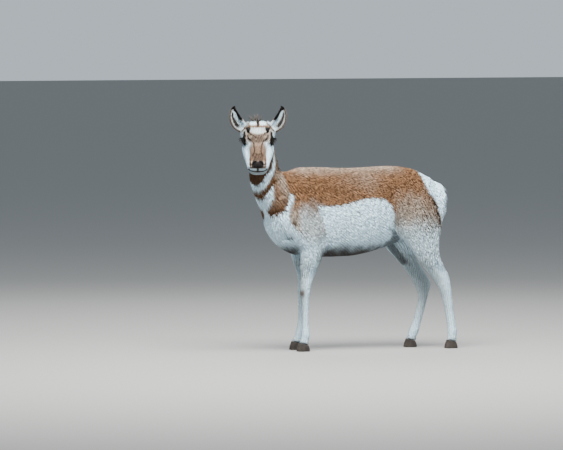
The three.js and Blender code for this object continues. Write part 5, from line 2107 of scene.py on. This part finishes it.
class Pronghorn:
    """The whole animal."""

    regions = (
        Region("head", 2.25, False, 7, 5),
        Region("neck", 4.8, True, 13, 8),
        Region("fore", 5.0, True, 14, 8),
        Region("barrel", 6.0, True, 14, 8),
        Region("haunch", 6.1, True, 14, 8),
        Region("forelegs", 6.0, False, 9, 7),
        Region("hindlegs", 6.0, False, 9, 7),
    )
    # Lengths of the legs' hair by height, and of the face's by how far ahead
    leg_lengths = [(0, 14), (60, 12), (120, 10), (330, 13), (480, 20)]
    face_lengths = [(-110, 20), (-60, 15), (0, 10), (60, 8.5), (120, 7), (190, 4.5)]

    def __init__(self) -> None:
        """Works out the shapes that everything is laid on."""
        self.head = Head()
        self.neck = Neck()
        self.limbs = legs()
        self.place = Place.of(self.head)
        self.dresser = Dresser(self.place)
        self.finish = CoatFinish()
        self.ears = {"left": Ear(self.head, 1), "right": Ear(self.head, -1)}
        self.flesh = Flesh(Trunk(), self.neck, self.head, self.limbs)
        self.markings = Markings(self.flesh)
        self.skin = self.flesh.skin()

    def build(self) -> None:
        """Makes every piece in order."""
        self._skin()
        fur = self.finish.material("fur", False)
        self._coat(fur)
        self._ear_coat(fur)
        self._long_hair(fur)
        self._eyes()
        self._horn()
        Studio(self.place).build()

    def _skin(self) -> None:
        """One skin over body, head, ears and dock."""
        main = Surface(self.skin.points, self.skin.faces, self.markings.paint(self.skin.points))
        nodes = ["torso", "neck", "head", "ear_left", "ear_right", "tail"]
        nodes += [f"{limb.name}_{part}" for limb in self.limbs for part in ("upper", "lower")]
        whole = joined([main] + [ear.surface() for ear in self.ears.values()])
        self.dresser.piece("skin", whole, self.finish.material("skin", True), Slot.COAT, *nodes)

    def _coat(self, fur: bpy.types.Material) -> None:
        """The tufts, one piece for each region and side."""
        coat = Coat(self.skin, self.flesh)
        centres = self.skin.points[self.skin.faces].mean(1)
        names = self._regions(centres)
        left = np.where(names == "head", self.head.from_body(centres)[:, 1], -centres[:, 1])
        covered = self.markings.paint(centres)["bare"] < 0.5
        for region in self.regions:
            here = (names == region.name) & covered
            for name, side in (("left", 1), ("right", -1)):
                roots = coat.scatter(np.flatnonzero(here & (left * side > 0)), region.spacing)
                way = coat.lie(roots.points, roots.normals)
                clumps = coat.clumps(roots, way, region.clump)
                streak = 1.3 * coat.streaks(roots.points, way, roots.normals, region.streak)
                way = turned(way, roots.normals, 0.03 * clumps.tone + coat.rng.normal(0, 0.05, len(way)))
                hair = self._sizes(coat, roots.points, clumps)
                plan = self._plan(region.name, roots.points)
                made = coat.blades(roots, way, hair, clumps, plan, region.bent, self.markings.paint, streak)
                self.dresser.piece(f"coat_{region.name}_{name}", made, fur, Slot.COAT)

    def _regions(self, points: Array) -> Array:
        """The region's name at each point."""
        x, _, z = points.T
        blurred = z + np.random.default_rng(SEED).uniform(-48, 48, len(z))
        names = np.full(len(points), "barrel", dtype="U8")
        names[x > 110] = "haunch"
        names[x < -215] = "fore"
        names[(x < -350) & (x + 0.55 * (z - 700) < -375) | (z > 850)] = "neck"
        names[self.flesh.past_cut(points) > 0] = "head"
        names[(blurred < 425) & (x < 0)] = "forelegs"
        names[(blurred < 425) & (x > 0)] = "hindlegs"
        return names

    def _plan(self, region: str, roots: Array) -> Array:
        """The roots' places on a map of the region: the way along it, and the angle round it."""
        x, y, z = roots.T
        if region == "head":
            local = self.head.from_body(roots)
            u = (local[:, 0] + 170) / 370
            v = np.arctan2(np.abs(local[:, 1]), local[:, 2] + 20) / math.pi
        elif region == "neck":
            step, angle, _ = self.neck.coordinates(roots)
            u = step / 9
            v = np.abs(angle) / 180
        elif region in ("forelegs", "hindlegs"):
            limb = self.limbs[0 if region == "forelegs" else 2]
            u = z / 480
            v = (np.arctan2(np.abs(y) - 70, x - limb.middle(z)) / math.pi + 1) / 2
        else:
            u = (x + 470) / 900
            v = np.arctan2(np.abs(y), z - 640) / math.pi
        return np.clip(np.stack([u, v], 1), 0.003, 0.997)

    def _sizes(self, coat: Coat, roots: Array, clumps: Clumps) -> Hair:
        """Lengths, widths and heights of the tufts by place, and lower at the edge of a clump."""
        x, _, z = roots.T
        rump = ramp(335, 372, x) * ramp(530, 580, z) * ramp(795, 760, z)
        breast = ramp(-330, -420, x) * ramp(840, 700, z) * ramp(430, 500, z)
        length = 33 + 18 * rump + 8 * breast
        lift = 5.0 + 6.0 * rump + 1.5 * breast
        on_leg = ramp(480, 330, z)
        length = length + (between(z, self.leg_lengths) - length) * on_leg
        lift = lift + (1.5 - lift) * on_leg
        face = between(self.head.from_body(roots)[:, 0], self.face_lengths)
        on_head = ramp(-30, 12, self.flesh.past_cut(roots))
        length = length + (face - length) * on_head
        lift = lift + (face * 0.13 + 0.2 - lift) * on_head
        width = (0.044 * length + 1.05) * coat.rng.uniform(0.8, 1.2, len(x))
        length = length * coat.rng.uniform(0.75, 1.25, len(x)) * (1 + 0.08 * clumps.tone)
        lift = lift * coat.rng.uniform(0.6, 1.2, len(x))
        return Hair(length, width, lift * ((1.1 - 0.3 * clumps.far**2) * (1 + 0.12 * clumps.tone)))

    def _ear_coat(self, fur: bpy.types.Material) -> None:
        """Short fur on the back of each ear and long hair inside it."""
        for name, ear in self.ears.items():
            skin = ear.surface()
            coat = Coat(skin, None)
            roots = coat.scatter(np.arange(len(skin.faces)), 3.6)
            step, medial, inside = (roots.marks[mark] for mark in ("step", "medial", "inside"))
            count = len(step)
            rows, _, along, across, _ = ear.frames()
            row = np.clip(np.rint(step * ear.rows_each).astype(int), 0, len(rows) - 1)
            way = along[row] + (0.55 * ear.side * medial * inside)[:, None] * across[row]
            way = unit(flattened(way, roots.normals))
            way = turned(way, roots.normals, coat.rng.normal(0, 0.16, count))
            inner, short = inside * ramp(8, 5, step), ramp(8.6, 5.2, step)
            length = (3 + 6 * short + 4 * inner * short) * coat.rng.uniform(0.7, 1.2, count)
            lift = (0.8 + 0.6 * short + 2.4 * inner * short) * coat.rng.uniform(0.5, 1.2, count)
            none = Clumps(np.zeros((count, 3)), np.full(count, 0.5), coat.rng.uniform(-1, 1, count))
            plan = np.stack([0.02 + 0.11 * step, 0.25 + 0.2 * medial + 0.5 * inside], 1)
            made = coat.blades(roots, way, Hair(length, np.full(count, 1.5), lift), none, plan, False, None)
            self.dresser.piece(f"coat_ear_{name}", made, fur, Slot.COAT)

    def _long_hair(self, fur: bpy.types.Material) -> None:
        """Tail, mane and the ruffled hair of the head."""
        hair = LongHair(self.flesh)
        self.dresser.piece("hair_tail", hair.tail(), fur, Slot.WHITE)
        self.dresser.piece("hair_mane", hair.mane(), fur, Slot.COAT)
        self.dresser.piece("hair_head", joined([hair.poll(), hair.temples()]), fur, Slot.COAT)

    def _eyes(self) -> None:
        """Eyeballs, rims and lashes."""
        eyes = Eyes(self.head)
        wet = EyeFinish().material()
        rim = LidFinish().material()
        for name, side in (("left", 1), ("right", -1)):
            self.dresser.piece(f"eyeball_{name}", eyes.eyeball(side), wet, Slot.EYE, f"eye_{name}")
            self.dresser.piece(f"lids_{name}", joined([eyes.rim(side), eyes.lashes(side)]), rim, Slot.COAT)

    def _horn(self) -> None:
        """Horn buds and hooves."""
        bud = HornFinish((0.003, 0.0028, 0.0027, 1), (0.009, 0.008, 0.007, 1), 90).material("horn")
        for name, side in (("left", 1), ("right", -1)):
            self.dresser.piece(f"bud_{name}", horn_bud(self.head, side), bud, Slot.HORN, f"horn_{name}")
        hoof = HornFinish((0.018, 0.016, 0.015, 1), (0.07, 0.06, 0.052, 1), 70).material("hoof")
        for limb in self.limbs:
            for name, part in (("inner", -limb.side), ("outer", limb.side)):
                node = f"{limb.name}_hoof_{name}"
                self.dresser.piece(f"claw_{limb.name}_{name}", hoof_claw(limb, part), hoof, Slot.HOOF, node)


def main() -> None:
    """Builds the animal and the studio."""
    logging.basicConfig(level=logging.INFO, format="%(relativeCreated)6d ms %(message)s")
    Pronghorn().build()
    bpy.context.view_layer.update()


if __name__ == "__main__":
    main()
